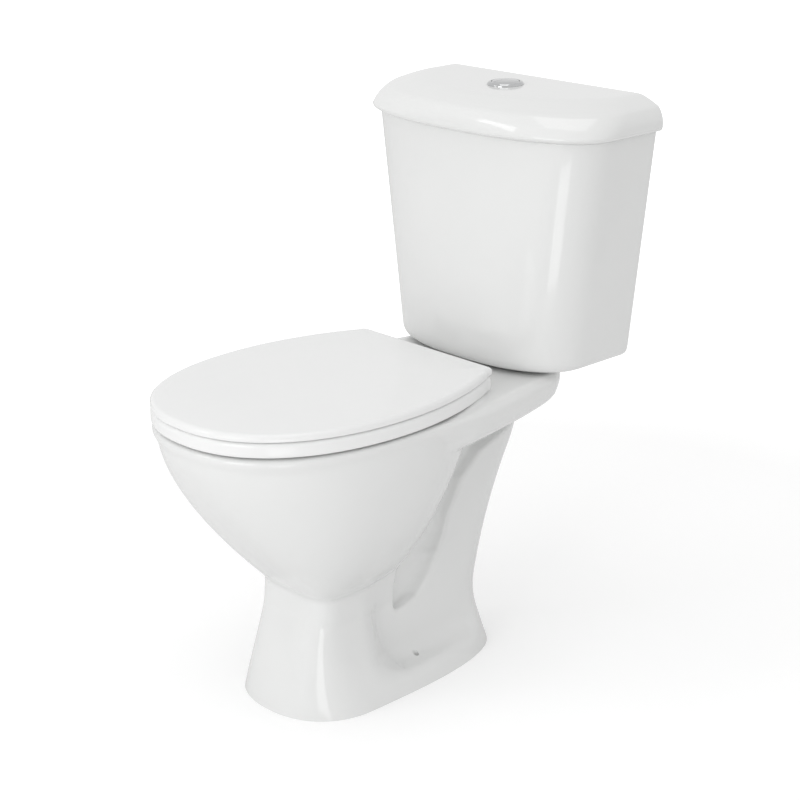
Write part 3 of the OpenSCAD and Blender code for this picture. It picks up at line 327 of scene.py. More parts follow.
@dataclass(frozen=True)
class PlainMoulding(Finish):
    """Injection-moulded plastic with a spark-eroded grain."""

    shade: Colour = (0.7, 0.7, 0.7)

    def dress(self, coat: Coat) -> None:
        """Adds the grain, flow lines and uneven gloss.

        Args:
            coat: the material in the making.
        """
        flow = coat.noise(30.0, 4.0, 0.6)
        coat.tint(((flow - 0.45) * 1.4).clamp(), self.shade)
        coat.gloss(coat.noise(120.0, 3.0), 0.2, self.roughness - 0.1)
        coat.emboss(coat.noise(2200.0, 2.0), 0.00005, 0.6)


@dataclass(frozen=True)
class Plating(Finish):
    """A plated metal: mirror chrome, or duller zinc with turning marks."""

    spangle: float = 0.04
    lines: float = 0.2

    def dress(self, coat: Coat) -> None:
        """Adds the plating's cloudiness and the lathe's fine lines.

        Args:
            coat: the material in the making.
        """
        coat.shader["Metallic"].default_value = 1.0
        cloud = coat.noise(260.0, 3.0, 0.6)
        coat.tint((cloud - 0.3).clamp(), tuple(0.82 * c for c in self.colour))
        coat.gloss(cloud, self.spangle, self.roughness)
        drawn_out = {"Vector": coat.place, "Scale": (300.0, 300.0, 5200.0)}
        stretched = wire(coat.tree, "ShaderNodeMapping", {}, drawn_out)
        lines = {"Vector": stretched, "Scale": 1.0, "Detail": 2.0}
        coat.emboss(wire(coat.tree, "ShaderNodeTexNoise", {}, lines), 0.00001, self.lines)


@dataclass(frozen=True)
class Rubber(Finish):
    """Moulded rubber with a dusty bloom."""

    dust: Colour = (0.11, 0.11, 0.115)

    def dress(self, coat: Coat) -> None:
        """Adds the bloom and a pebbled skin.

        Args:
            coat: the material in the making.
        """
        bloom = coat.noise(70.0, 5.0, 0.65)
        coat.tint(((bloom - 0.5) * 2.0).clamp(), self.dust)
        coat.gloss(bloom, 0.25, self.roughness - 0.1)
        coat.emboss(coat.noise(1600.0, 3.0), 0.00012, 0.7)


@dataclass(frozen=True)
class FloorPaint(Finish):
    """The plain pale floor, which keeps the shadow."""

    mottle: Colour = (0.84, 0.84, 0.84)
    lift: float = 0.24
    far_lift: float = 0.6
    near: float = 0.9
    far: float = 3.0

    def dress(self, coat: Coat) -> None:
        """Adds a barely visible mottling and lifts the floor to white for the eye.

        Args:
            coat: the material in the making.
        """
        coat.tint(coat.noise(2.0, 2.0) * 0.2, self.mottle)
        seen = wire(coat.tree, "ShaderNodeLightPath", {}, {}, "Is Camera Ray")
        coat.shader["Specular IOR Level"].default_value = 0.0
        coat.shader["Emission Color"].default_value = WHITE
        reach = wire(coat.tree, "ShaderNodeVectorMath", {"operation": "LENGTH"}, {0: coat.place}, "Value")
        away = ((reach - self.near) / (self.far - self.near)).clamp()
        (seen * (away * self.far_lift + self.lift)).feed(coat.shader["Emission Strength"])


class Finishes:
    """Every finish, made once and found by its slot."""

    KINDS = (
        GlazedChina("glazed_china", Slot.CHINA, (0.805, 0.809, 0.803), 0.09),
        GlossMoulding("seat_gloss", Slot.SEAT, (0.86, 0.863, 0.86), 0.16),
        PlainMoulding("soft_white", Slot.BUFFER, (0.82, 0.82, 0.81), 0.55, (0.74, 0.74, 0.72)),
        Plating("mirror_chrome", Slot.CHROME, (0.57, 0.575, 0.58), 0.05, 0.04, 0.15),
        Plating("zinc_steel", Slot.STEEL, (0.62, 0.63, 0.64), 0.24, 0.22, 0.5),
        PlainMoulding("white_moulding", Slot.PLASTIC, (0.80, 0.80, 0.785), 0.36, (0.72, 0.72, 0.70)),
        PlainMoulding("blue_moulding", Slot.BLUE, (0.05, 0.16, 0.50), 0.34, (0.035, 0.12, 0.42)),
        PlainMoulding("grey_moulding", Slot.GREY, (0.48, 0.50, 0.52), 0.40, (0.42, 0.44, 0.46)),
        Rubber("black_rubber", Slot.RUBBER, (0.03, 0.03, 0.032), 0.72),
    )

    def __init__(self) -> None:
        """Builds the materials."""
        self.by_slot = {kind.slot: kind.build() for kind in self.KINDS}

    def __getitem__(self, slot: Slot) -> bpy.types.Material:
        """The material of a slot."""
        return self.by_slot[slot]


# ---------- curves and skins ----------


def bent(value: Array, squareness: float) -> Array:
    """A sine or cosine bent to a superellipse, for which 2 is a true ellipse."""
    return np.sign(value) * np.abs(value) ** (2.0 / squareness)


def front_curve(half: float, centre: float, reach: float, squareness: float, steps: int) -> Array:
    """A curve from the left, round the front, to the right, with even spacing.

    Args:
        half: half-width at its ends.
        centre: distance of its ends from the wall.
        reach: how far it bows out in front of them.
        squareness: 2 for a true ellipse.
        steps: spans along the curve.

    Returns:
        Points (x, distance), steps + 1 of them.
    """
    t = np.radians(np.linspace(180.0, 0.0, 1441))
    line = np.column_stack([half * bent(np.cos(t), squareness), centre + reach * bent(np.sin(t), squareness)])
    run = np.concatenate([[0.0], np.cumsum(np.linalg.norm(np.diff(line, axis=0), axis=1))])
    even = np.linspace(0.0, run[-1], steps + 1)
    return np.column_stack([np.interp(even, run, line[:, 0]), np.interp(even, run, line[:, 1])])


def outline_of(front: Array, side: Array, turn: Array, steps: int) -> Array:
    """Closes an outline with a straight back.

    Args:
        front: its front, from the left round to the right.
        side: its right side, going back.
        turn: its right back corner.
        steps: spans along the straight back.

    Returns:
        The whole outline, the left half a mirror of the right.
    """
    rear = between(turn[-1], turn[-1] * np.array([-1.0, 1.0]), steps)
    left = [part[::-1] * np.array([-1.0, 1.0]) for part in (turn, side)]
    return np.concatenate([front, side, turn, rear, *left])


def between(a: Array, b: Array, steps: int) -> Array:
    """Points that lie evenly between two points, without either."""
    t = np.linspace(0.0, 1.0, steps + 1)[1:-1, None]
    return a + (b - a) * t


def level(points: Array, height: float) -> Array:
    """The points of an outline at one height."""
    return np.column_stack([points, np.full(len(points), height)])


def smooth_stack(rings: Rings, spans: Sequence[int]) -> Rings:
    """Passes a smooth skin through a stack of rings.

    Args:
        rings: rings with the same number of points.
        spans: how many spans to make after each ring but the last.

    Returns:
        The finer stack, the given rings among it.
    """
    knots = [0.0]
    for a, b in zip(rings, rings[1:]):
        knots.append(knots[-1] + max(float(np.linalg.norm(b - a, axis=1).mean()), 1e-3) ** 0.5)
    knots = [2 * knots[0] - knots[1], *knots, 2 * knots[-1] - knots[-2]]
    held = [rings[0], *rings, rings[-1]]
    out: Rings = [rings[0]]
    for i, count in enumerate(spans):
        t0, t1, t2, t3 = knots[i : i + 4]
        for t in np.linspace(t1, t2, count + 1)[1:]:
            p = [
                (late - t) / (late - early) * held[i + j] + (t - early) / (late - early) * held[i + j + 1]
                for j, (early, late) in enumerate(((t0, t1), (t1, t2), (t2, t3)))
            ]
            b1 = (t2 - t) / (t2 - t0) * p[0] + (t - t0) / (t2 - t0) * p[1]
            b2 = (t3 - t) / (t3 - t1) * p[1] + (t - t1) / (t3 - t1) * p[2]
            out.append((t2 - t) / (t2 - t1) * b1 + (t - t1) / (t2 - t1) * b2)
    return out


def capped(rings: Rings, steps: int) -> Rings:
    """Closes both ends of a stack with rings that shrink evenly to a small last one.

    Args:
        rings: the stack.
        steps: how many rings to add at each end.

    Returns:
        The stack with its caps.
    """
    caps: List[Rings] = []
    for ring in (rings[0], rings[-1]):
        middle, cap = ring.mean(axis=0), []
        for i in range(1, steps + 1):
            inner = middle + (ring - middle) * (1.0 - i / (steps + 1))
            inner[:, 2] = ring[:, 2]
            cap.append(inner)
        caps.append(cap)
    return caps[0][::-1] + rings + caps[1]


def skin(rings: Rings, closed: bool = False) -> Solid:
    """Faces through a stack of rings.

    Args:
        rings: the rings, all with the same number of points.
        closed: True where the last ring joins the first, otherwise both ends are capped.

    Returns:
        Points and faces.
    """
    count, turns = len(rings[0]), len(rings)
    points = np.concatenate(rings)
    faces: Faces = []
    for i in range(turns if closed else turns - 1):
        a, b = i * count, ((i + 1) % turns) * count
        faces += [(a + j, b + j, b + (j + 1) % count, a + (j + 1) % count) for j in range(count)]
    if not closed:
        points = np.concatenate([points, rings[0].mean(0)[None], rings[-1].mean(0)[None]])
        first, last = len(points) - 2, len(points) - 1
        end = (turns - 1) * count
        faces += [(first, j, (j + 1) % count) for j in range(count)]
        faces += [(last, end + (j + 1) % count, end + j) for j in range(count)]
    return points, faces


def turned(profile: Sequence[Sequence[float]], segments: int) -> Solid:
    """A closed profile of (radius, height) turned about the Z axis.

    Args:
        profile: corners of the section, in order; points at radius 0 close the axis.
        segments: facets round the turn.

    Returns:
        Points about the origin and faces.
    """
    angles = np.linspace(0.0, 2.0 * math.pi, segments, endpoint=False)
    points: List[Tuple[float, float, float]] = []
    rows: List[List[int]] = []
    for radius, height in profile:
        if radius <= 1e-9:
            rows.append([len(points)] * segments)
            points.append((0.0, 0.0, height))
        else:
            rows.append(list(range(len(points), len(points) + segments)))
            points += [(radius * math.cos(a), radius * math.sin(a), height) for a in angles]
    faces: Faces = []
    for a, b in zip(rows, rows[1:] + rows[:1]):
        for j in range(segments):
            k = (j + 1) % segments
            corners = list(dict.fromkeys([a[j], a[k], b[k], b[j]]))
            if len(corners) > 2:
                faces.append(tuple(corners))
    return np.array(points), faces


def bend_path(corners: Sequence[Sequence[float]], steps: int = 6, closed: bool = False) -> Rings:
    """A path with its corners rounded.

    Args:
        corners: each corner's place, with the length that its rounding takes as the last item.
        steps: spans on each rounded corner.
        closed: True where the last corner joins the first.

    Returns:
        The path's points.
    """
    table = np.array(corners, float)
    place, size = table[:, :-1], table[:, -1]
    out: Rings = []
    for i, here in enumerate(place):
        if size[i] <= 0.0 or (not closed and i in (0, len(place) - 1)):
            out.append(here)
            continue
        start, end = (
            here + way / np.linalg.norm(way) * size[i]
            for way in (place[i - 1] - here, place[(i + 1) % len(place)] - here)
        )
        for t in np.linspace(0.0, 1.0, steps + 1):
            out.append((1 - t) ** 2 * start + 2 * t * (1 - t) * here + t**2 * end)
    return out


def rounded(corners: Sequence[Tuple[float, float, float]], steps: int = 5) -> Rings:
    """A closed section of (radius, height) corners, each with the size of its rounding."""
    return bend_path(corners, steps, closed=True)


def block(low: Sequence[float], high: Sequence[float]) -> Solid:
    """A box between two corners, as points and faces."""
    corners = np.array(list(product(*zip(low, high))), float)
    return corners, [(0, 1, 3, 2), (4, 6, 7, 5), (0, 4, 5, 1), (2, 3, 7, 6), (0, 2, 6, 4), (1, 5, 7, 3)]


# ---------- objects ----------


def framed(solid: Solid, shift: Sequence[float] = (0.0, 0.0, 0.0)) -> Solid:
    """A solid in millimetres (x, distance from the wall, height), moved and put in the model's frame.

    Args:
        solid: its points and faces.
        shift: how far it is moved first.

    Returns:
        The same faces on points in metres.
    """
    points = solid[0] + np.array(shift)
    return np.column_stack([points[:, 0] * MM, (WALL - points[:, 1]) * MM, points[:, 2] * MM]), solid[1]


def new_object(name: str, solid: Solid, crease: float = 40.0) -> Thing:
    """A mesh object with outward faces, smooth but for its creases.

    Args:
        name: the piece's name.
        solid: its points in the model's frame, in metres, and its faces.
        crease: edges sharper than this many degrees stay sharp.

    Returns:
        The linked object, at the origin.
    """
    mesh = bpy.data.meshes.new(name)
    mesh.from_pydata([tuple(p) for p in solid[0]], [], [tuple(f) for f in solid[1]])
    mesh.validate()
    work = bmesh.new()
    work.from_mesh(mesh)
    bmesh.ops.remove_doubles(work, verts=work.verts, dist=1e-6)
    bmesh.ops.recalc_face_normals(work, faces=work.faces)
    work.to_mesh(mesh)
    work.free()
    thing = bpy.data.objects.new(name, mesh)
    bpy.context.scene.collection.objects.link(thing)
    smooth(thing, crease)
    return thing


def smooth(thing: Thing, crease: float) -> None:
    """Shades an object smooth, with edges over an angle kept sharp.

    Args:
        thing: the object.
        crease: the angle in degrees.
    """
    thing.data.polygons.foreach_set("use_smooth", [True] * len(thing.data.polygons))
    thing.data.set_sharp_from_angle(angle=math.radians(crease))
    thing.data.update()


def settle(thing: Thing) -> None:
    """Applies an object's modifiers, so that a plain mesh is left.

    Args:
        thing: the object.
    """
    bpy.context.view_layer.update()
    graph = bpy.context.evaluated_depsgraph_get()
    made = bpy.data.meshes.new_from_object(thing.evaluated_get(graph))
    made.name = thing.name
    thing.modifiers.clear()
    thing.data = made


def combine(thing: Thing, other: Thing, operation: str, crease: float = 40.0) -> None:
    """Cuts or joins one closed mesh with another, which is then gone.

    Args:
        thing: the mesh that is kept.
        other: the cutter or the addition.
        operation: DIFFERENCE, UNION or INTERSECT.
        crease: edges sharper than this many degrees stay sharp.
    """
    step = thing.modifiers.new("shape", "BOOLEAN")
    step.operation = operation
    step.object = other
    step.solver = "MANIFOLD"
    settle(thing)
    bpy.data.objects.remove(other)
    smooth(thing, crease)


def carve(
    thing: Thing, low: Sequence[float], high: Sequence[float], operation: str, crease: float = 40.0
) -> None:
    """Cuts, joins or trims a mesh with a box between two corners; see combine()."""
    combine(thing, new_object("block", framed(block(low, high))), operation, crease)


@dataclass(frozen=True)
class Drill:
    """A straight round hole: upright, or level along the distance from the wall where it has a height.

    x and d are its centre's place, low and high its ends.
    """

    x: float
    d: float
    low: float
    high: float
    radius: float
    height: Optional[float] = None

    def cut(self, thing: Thing, segments: int = 64, crease: float = 40.0) -> None:
        """Cuts the hole in an object.

        Args:
            thing: the object.
            segments: facets round the hole.
            crease: edges sharper than this many degrees stay sharp.
        """
        ends = [(0.0, self.low), (self.radius, self.low), (self.radius, self.high), (0.0, self.high)]
        points, faces = turned(ends, segments)
        shift = (self.x, self.d, 0.0)
        if self.height is not None:
            points, shift = points[:, [0, 2, 1]], (self.x, 0.0, self.height)
        combine(thing, new_object("cutter", framed((points, faces), shift)), "DIFFERENCE", crease)


@dataclass
class Assembly:
    """A sub-assembly, which builds its pieces and hands them in with their finishes."""

    finishes: Finishes

    def hand_in(self, thing: Thing, slot: Slot, body: str, *replaces: str) -> None:
        """Gives a finished piece its material and its body, and hides the nodes that it stands for.

        Args:
            thing: the piece.
            slot: its material slot.
            body: the moving body that it rides on.
            replaces: nodes that it stands for, which are hidden.
        """
        thing.data.materials.clear()
        thing.data.materials.append(self.finishes[slot])
        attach(thing, body)
        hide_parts(*replaces)
        LOG.info("%s: %d faces on %s", thing.name, len(thing.data.polygons), body)


# ---------- the pan ----------


class Spots(NamedTuple):
    """Places at which a field is measured: x is never negative, because the pan is symmetrical."""

    x: Array
    d: Array
    z: Array


def soft_low(a: Array, b: Array, width: Any) -> Array:
    """The lower of two fields, blended where they are closer than a width."""
    h = np.maximum(width - np.abs(a - b), 0.0) / width
    return np.minimum(a, b) - h * h * width * 0.25


def soft_high(a: Array, b: Array, width: Any) -> Array:
    """The higher of two fields, blended where they are closer than a width."""
    return -soft_low(-a, -b, width)


def egg(at: Spots, half: Any, widest: Any, front: Any, n: Any, back: Any, m: Any) -> Array:
    """Distance from an egg-shaped outline, negative inside it.

    Args:
        at: where it is measured.
        half: the egg's half-width.
        widest: where it is widest.
        front: its foremost point.
        n: squareness of its front.
        back: its rearmost point.
        m: squareness of its back.

    Returns:
        The distance, true near the outline.
    """
    ahead = at.d >= widest
    power = np.where(ahead, n, m)
    reach = np.where(ahead, front - widest, widest - back)
    return rounded_distance(at.x, half, np.abs(at.d - widest), reach, power)


def rounded_distance(x: Array, half: Any, d: Array, reach: Any, power: Any) -> Array:
    """Distance from a superellipse, from one quarter of it.

    Args:
        x: how far out each place is.
        half: the superellipse's reach that way.
        d: how far along each place is.
        reach: the superellipse's reach that way.
        power: 2 for a true ellipse, more for a squarer one.

    Returns:
        The distance, negative inside.
    """
    u, v = x / half + 1e-6, d / reach + 1e-6
    size = (u**power + v**power) ** (1.0 / power)
    slope = size ** (1.0 - power) * np.hypot(u ** (power - 1.0) / half, v ** (power - 1.0) / reach)
    return (size - 1.0) / np.maximum(slope, 1e-4)


def cubic(a: float, b: float, c: float, d: float, t: Array) -> Array:
    """A cubic curve with four controls."""
    return a * (1 - t) ** 3 + 3 * b * t * (1 - t) ** 2 + 3 * c * t * t * (1 - t) + d * t**3


def edge_number(axis: int, place: Dict[int, int]) -> int:
    """The number of a cell's edge along an axis at a place on the other two."""
    first, second = [place[i] for i in range(3) if i != axis]
    return axis * 4 + first * 2 + second


def cell_sheets() -> Array:
    """Numbers the separate sheets of skin that can cross one grid cell.

    Returns:
        For each pattern of inside corners and each of a cell's edges, the number of its sheet.
    """
    table = np.zeros((256, 12), dtype=int)
    for case in range(256):
        group = list(range(12))
        for face, side in product(range(3), (0, 1)):
            u, v = [i for i in range(3) if i != face]
            held: Dict[Tuple[int, int], int] = {}
            for cu, cv in product((0, 1), repeat=2):
                corner = {face: side, u: cu, v: cv}
                held[cu, cv] = case >> (corner[0] * 4 + corner[1] * 2 + corner[2]) & 1
            edges: Dict[Tuple[str, int], int] = {}
            for k in (0, 1):
                if held[0, k] != held[1, k]:
                    edges["u", k] = edge_number(u, {face: side, v: k})
                if held[k, 0] != held[k, 1]:
                    edges["v", k] = edge_number(v, {face: side, u: k})
            pairs = [tuple(edges.values())] if len(edges) == 2 else []
            if len(edges) == 4:
                pairs = [(edges["u", cv], edges["v", cu]) for (cu, cv), inside in held.items() if inside]
            for a, b in pairs:
                low, high = sorted((group[a], group[b]))
                group = [low if g == high else g for g in group]
        numbers = sorted(set(group))
        table[case] = [numbers.index(g) for g in group]
    return table


def quad_edges(quads: Array) -> Array:
    """Every quad's four edges, as pairs of points."""
    return np.concatenate([quads[:, [i, (i + 1) % 4]] for i in range(4)])


class SkinNet:
    """Finds the skin of a solid that is given by a field, and lays an even net of quads on it."""

    PROBE = 0.4  # half the span that a slope is measured over
    FLAT = 0.05  # the least squared slope that a move is worked out with
    PULL = 0.6  # share of the way to its neighbours' middle that a point moves in one turn
    SHEETS = 8  # more than the sheets of skin that can cross one cell

    def __init__(self, shape: Callable[..., Array], step: float) -> None:
        """Keeps the field and the net's mesh size."""
        self.shape, self.step = shape, step

    def net(self, low: Sequence[float], high: Sequence[float]) -> Tuple[Array, Array]:
        """Lays the net.

        Args:
            low: lowest corner of a box that holds the solid.
            high: its highest corner.

        Returns:
            Points and quads.
        """
        axes = []
        for a, b in zip(low, high):
            count = int(math.ceil((b - a) / self.step)) + 1
            axes.append((a + b) / 2 + (np.arange(count) - (count - 1) / 2) * self.step)
        values = self.shape(*np.meshgrid(*axes, indexing="ij"))
        inside = values < 0
        cells = tuple(n - 1 for n in values.shape)
        case = np.zeros(cells, dtype=int)
        for i, j, k in product((0, 1), repeat=3):
            part = inside[i : i + cells[0], j : j + cells[1], k : k + cells[2]]
            case += part.astype(int) << (i * 4 + j * 2 + k)
        sheets = cell_sheets()
        places, rows = [], []
        for axis, (p, q) in enumerate(((1, 2), (2, 0), (0, 1))):
            a = tuple(slice(0, -1) if i == axis else slice(None) for i in range(3))
            b = tuple(slice(1, None) if i == axis else slice(None) for i in range(3))
            where = np.argwhere(inside[a] != inside[b])
            ahead = where.copy()
            ahead[:, axis] += 1
            va, vb = values[tuple(where.T)], values[tuple(ahead.T)]
            point = np.column_stack([axes[i][where[:, i]] for i in range(3)])
            point[:, axis] += va / (va - vb) * self.step
            corners = []
            for back_p, back_q in ((1, 1), (0, 1), (0, 0), (1, 0)):
                cell = where.copy()
                cell[:, p] -= back_p
                cell[:, q] -= back_q
                sheet = sheets[case[tuple(cell.T)], edge_number(axis, {p: back_p, q: back_q})]
                corners.append(np.ravel_multi_index(tuple(cell.T), cells) * self.SHEETS + sheet)
            quad = np.column_stack(corners)
            inward = va >= 0
            quad[inward] = quad[inward][:, ::-1]
            rows.append(quad)
            places.append(np.repeat(point, 4, axis=0))
        found, number = np.unique(np.concatenate([quad.ravel() for quad in rows]), return_inverse=True)
        total = np.zeros((len(found), 3))
        np.add.at(total, number, np.concatenate(places))
        return total / np.bincount(number)[:, None], number.reshape(-1, 4)

    def closed(self, quads: Array) -> bool:
        """Tells whether a net is closed.

        Args:
            quads: the net's quads.

        Returns:
            True where each edge joins just two quads.
        """
        ends = np.sort(quad_edges(quads).astype(np.int64), axis=1)
        _, count = np.unique(ends[:, 0] * (int(quads.max()) + 1) + ends[:, 1], return_counts=True)
        return bool((count == 2).all())

    def slope(self, points: Array) -> Array:
        """The field's gradient.

        Args:
            points: where it is measured.

        Returns:
            The gradient at each point.
        """
        out = np.empty_like(points)
        for axis in range(3):
            move = np.zeros(3)
            move[axis] = self.PROBE
            rise = self.shape(*(points + move).T) - self.shape(*(points - move).T)
            out[:, axis] = rise / (2 * self.PROBE)
        return out

    def land(self, points: Array, turns: int) -> Array:
        """Moves points onto the skin along the field's gradient.

        Args:
            points: points near the skin.
            turns: how often to correct them.

        Returns:
            The moved points.
        """
        for _ in range(turns):
            g = self.slope(points)
            value = self.shape(*points.T)
            move = g * (value / np.maximum((g * g).sum(axis=1), self.FLAT))[:, None]
            length = np.linalg.norm(move, axis=1, keepdims=True)
            points = points - move * np.minimum(1.0, self.step / np.maximum(length, 1e-9))
        return points

    def even(self, points: Array, quads: Array, turns: int) -> Array:
        """Evens the net out, keeping it on the skin.

        Args:
            points: the net's points.
            quads: its quads.
            turns: how often to pull each point towards its neighbours' middle.

        Returns:
            The moved points.
        """
        edges = quad_edges(quads)
        count = np.bincount(edges[:, 0], minlength=len(points))[:, None]
        for _ in range(turns):
            pull = np.zeros_like(points)
            np.add.at(pull, edges[:, 0], points[edges[:, 1]])
            points = self.land(points + self.PULL * (pull / count - points), 1)
        return self.land(points, 2)


@dataclass
class Pan(Assembly):
    """The china pan: rim and deck, bowl, foot, and the leg that holds the trap.

    It is one field, negative inside the china. Most of its methods take the places to
    measure and give one part's field there.
    """

    rim_width: float = 352.0
    rim_widest: float = 417.0
    rim_front: float = 643.0
    rim_squareness: float = 2.25
    rim_ease: float = 0.12
    rim_flare: float = 3.0
    rim_inset: float = 38.0
    rim_depth: float = 44.0
    deck_width: float = 275.0
    deck_taper: float = 0.21
    deck_setback: float = 62.0
    deck_corner: float = 68.0
    deck_thickness: float = 51.0
    deck_level: float = 200.0
    china_wall: float = 12.0
    crease_height: float = 156.0
    crease_width: float = 132.5
    crease_front: float = 480.0
    crease_squareness: float = 3.8
    bowl_back_top: float = 187.0
    bowl_back_low: float = 296.0
    bowl_round: float = 47.0
    bowl_turn: float = 36.0
    bowl_turn_power: float = 3.5
    opening_squareness: float = 2.1
    sump_height: float = 116.0
    smoothing: int = 13
    foot_width: float = 211.5
    foot_front: float = 529.0
    foot_widest: float = 430.5
    crease_shift: float = 12.5
    foot_back: float = 158.0
    foot_waist: float = 7.4
    foot_belly: float = 34.0
    foot_squareness: float = 2.25
    flange_height: float = 26.0
    leg_width: float = 102.0
    leg_round: float = 60.0
    leg_lean: Tuple[float, ...] = (23.0, 0.093, 0.000573, 0.00000076)
    recess_front: float = 410.0
    recess_back: float = 200.0
    recess_run: float = 60.0
    recess_slant: float = 0.8
    core_back: float = 302.0
    core_front: float = 430.0
    outlet_bore: float = 80.0
    trap_bore: float = 60.0
    slot_wall: float = 5.0
    inlet_floor: float = 363.0
    inlet_radius: float = 29.0
    seal_radius: float = 44.0
    rim_way: Tuple[float, float] = (12.0, 375.0)
    floor_screw: Tuple[float, float, float] = (68.0, 320.0, 4.0)
    seat_bolt_bore: float = 7.5
    nut_pocket: float = 18.0
    crease: float = 72.0

    # Mesh sizes of the skin, the later ones only for where the one before leaves it open.
    MESH_STEPS = (4.1, 4.04, 4.16, 3.98)
    # Height, half-width, front and back of the bowl's inside, from the sump's floor and the crease's front.
    SUMP_ROWS = (
        (0, 24, -54, -122), (8, 44, -28, -140), (34, 52, -14, -150), (62, 68, 8, -164), (90, 94, 36, -177)
    )
    # Height against the distance of the recess's front edge.
    RECESS_EDGE = ((20, 46, 76, 104, 130, 156, 200), (412, 426, 436, 441, 443, 444, 444))
    # Height, back and front of the slot, from the crease.
    SLOT_ROWS = (
        (-66, -46, -22, 0, 26, 54, 98, 128, 160, 191),
        (-150, -190, -212, -226, -240, -250, -276, -310, -400, -440),
        (-130, -132, -133, -140, -160, -184, -214, -240, -262, -276),
    )
    # Depth below the rim against how far the deck and the bow draw in there.
    FLANK = ((6, 14, 24, 36, 44, 51, 60), (0, 0.8, 3.5, 8, 12, 15, 19))
    BOW = ((4, 8, 14, 20, 26, 34), (0, 0.7, 3.4, 7.6, 13, 22))
    # Distance from the outlet and height above the sump's floor along the water's way.
    TRAP_ROUTE = (
        (168, 110, 70, 42, 22, 4, -24, -51, -63, -57, -42, -24, -8, 0, 0),
        (44, 38, 52, 84, 124, 152, 166, 152, 124, 88, 48, 6, -36, -76, -90),
    )

    def __post_init__(self) -> None:
        """Tabulates what depends on height alone."""
        half, crease = self.rim_width / 2, self.crease_width / 2
        self.t = np.linspace(1.0, 0.0, 2001)
        self.levels = cubic(RIM, RIM - 73, self.crease_height + 38, self.crease_height, self.t)
        self.halves = cubic(half - self.rim_flare, half - 2, crease + 47, crease, self.t)
        controls = (self.rim_front - self.rim_flare, self.rim_front, self.crease_front + 38, self.crease_front)
        self.fronts = cubic(*controls, self.t)
        self.opening_back = self.rim_widest - 139
        self.under_rim = RIM - self.rim_depth
        self.hollow_rows = self._hollow_rows()

    def _hollow_rows(self) -> Array:
        """Tabulates the bowl's inside.

        Returns:
            Height, half-width, front and back, smoothed in height.
        """
        rows = [
            (self.sump_height + up, float(half), self.crease_front + front, self.crease_front + back)
            for up, half, front, back in self.SUMP_ROWS
        ]
        for share, back in ((0.6, 20.0), (0.4, 8.0), (0.25, 0.0)):
            tables = (self.levels, self.halves, self.fronts)
            z, half, front = (float(np.interp(-share, -self.t, table)) for table in tables)
            rows.append((z, half - self.china_wall, front - self.china_wall, self.opening_back + back))
        rows.append((self.under_rim + 12, rows[-1][1] - 3, rows[-1][2] - 3, self.opening_back))
        table = np.array(rows)
        z = np.arange(table[0, 0] - 30, table[-1, 0] + 30, 1.0)
        kernel = np.hanning(2 * self.smoothing + 1)
        kernel /= kernel.sum()
        out = [z]
        for column in (1, 2, 3):
            fine = np.interp(z, table[:, 0], table[:, column])
            out.append(np.convolve(np.pad(fine, self.smoothing, mode="edge"), kernel, mode="valid"))
        return np.column_stack(out)

    def bowl(self, at: Spots) -> Array:
        """The bowl's outside, rounded off below the crease.

        Args:
            at: where it is measured.

        Returns:
            Its field.
        """
        t, half, front = (np.interp(at.z, self.levels, of) for of in (self.t, self.halves, self.fronts))
        back = self.bowl_back_top + (self.bowl_back_low - self.bowl_back_top) * t**1.07
        widest = self.rim_widest + (self.foot_widest + self.crease_shift - self.rim_widest) * t
        n = self.rim_squareness - self.rim_ease
        n = n + (self.crease_squareness - self.rim_squareness + self.rim_ease) * t * t
        side = egg(at, half, widest, front, n + 0.4 * t * (1 - t), back, self.opening_squareness)
        below = np.clip((self.crease_height - at.z) / self.bowl_round, 0.0, 0.999)
        power = self.bowl_turn_power
        side = side + self.bowl_turn * (1.0 - (1.0 - below**power) ** (1 / power))
        return soft_high(np.maximum(side, at.z - RIM + 1), self.crease_height - self.bowl_round - at.z, 10.0)

    def pedestal(self, at: Spots, inset: float = 0.0) -> Array:
        """The flared foot.

        Args:
            at: where it is measured.
            inset: how far it is drawn in.

        Returns:
            Its field.
        """
        s = np.clip(1.0 - at.z / self.crease_height, 0.0, 1.05)
        flare, bulge = s**1.6, s * (1 - s)
        half = (self.crease_width + (self.foot_width - self.crease_width) * flare) / 2
        half = half - self.foot_waist * bulge - inset
        widest = self.foot_widest + self.crease_shift * (1 - s)
        front = self.crease_front + (self.foot_front - self.crease_front) * flare
        front = front + self.foot_belly * bulge - inset
        n = self.crease_squareness + (self.foot_squareness - self.crease_squareness) * s
        back = self.recess_back + 6 + (self.foot_back - self.recess_back - 6) * s**0.7 + inset
        return np.maximum(egg(at, half, widest, front, n, back, 3.0), at.z - self.crease_height)

    def scoop(self, at: Spots) -> Array:
        """The hollow pressed into the side of the foot, which deepens behind its front edge.

        Args:
            at: where it is measured.

        Returns:
            Its field.
        """
        front = np.interp(at.z, *self.RECESS_EDGE)
        wall = self.leg_width / 2 - 2 + 8.0 * np.clip((self.crease_height - at.z) / 120.0, 0.0, 1.0)
        depth = wall + self.recess_slant * np.maximum(at.d - front + self.recess_run, 0.0)
        inner = (depth - at.x) / np.where(at.d > front - self.recess_run, 1.28, 1.0)
        out = soft_high(inner, at.d - front - 4.0, 12.0)
        out = soft_high(out, self.recess_back + 4.0 - at.d, 16.0)
        return soft_high(out, self.flange_height - at.z, 30.0)

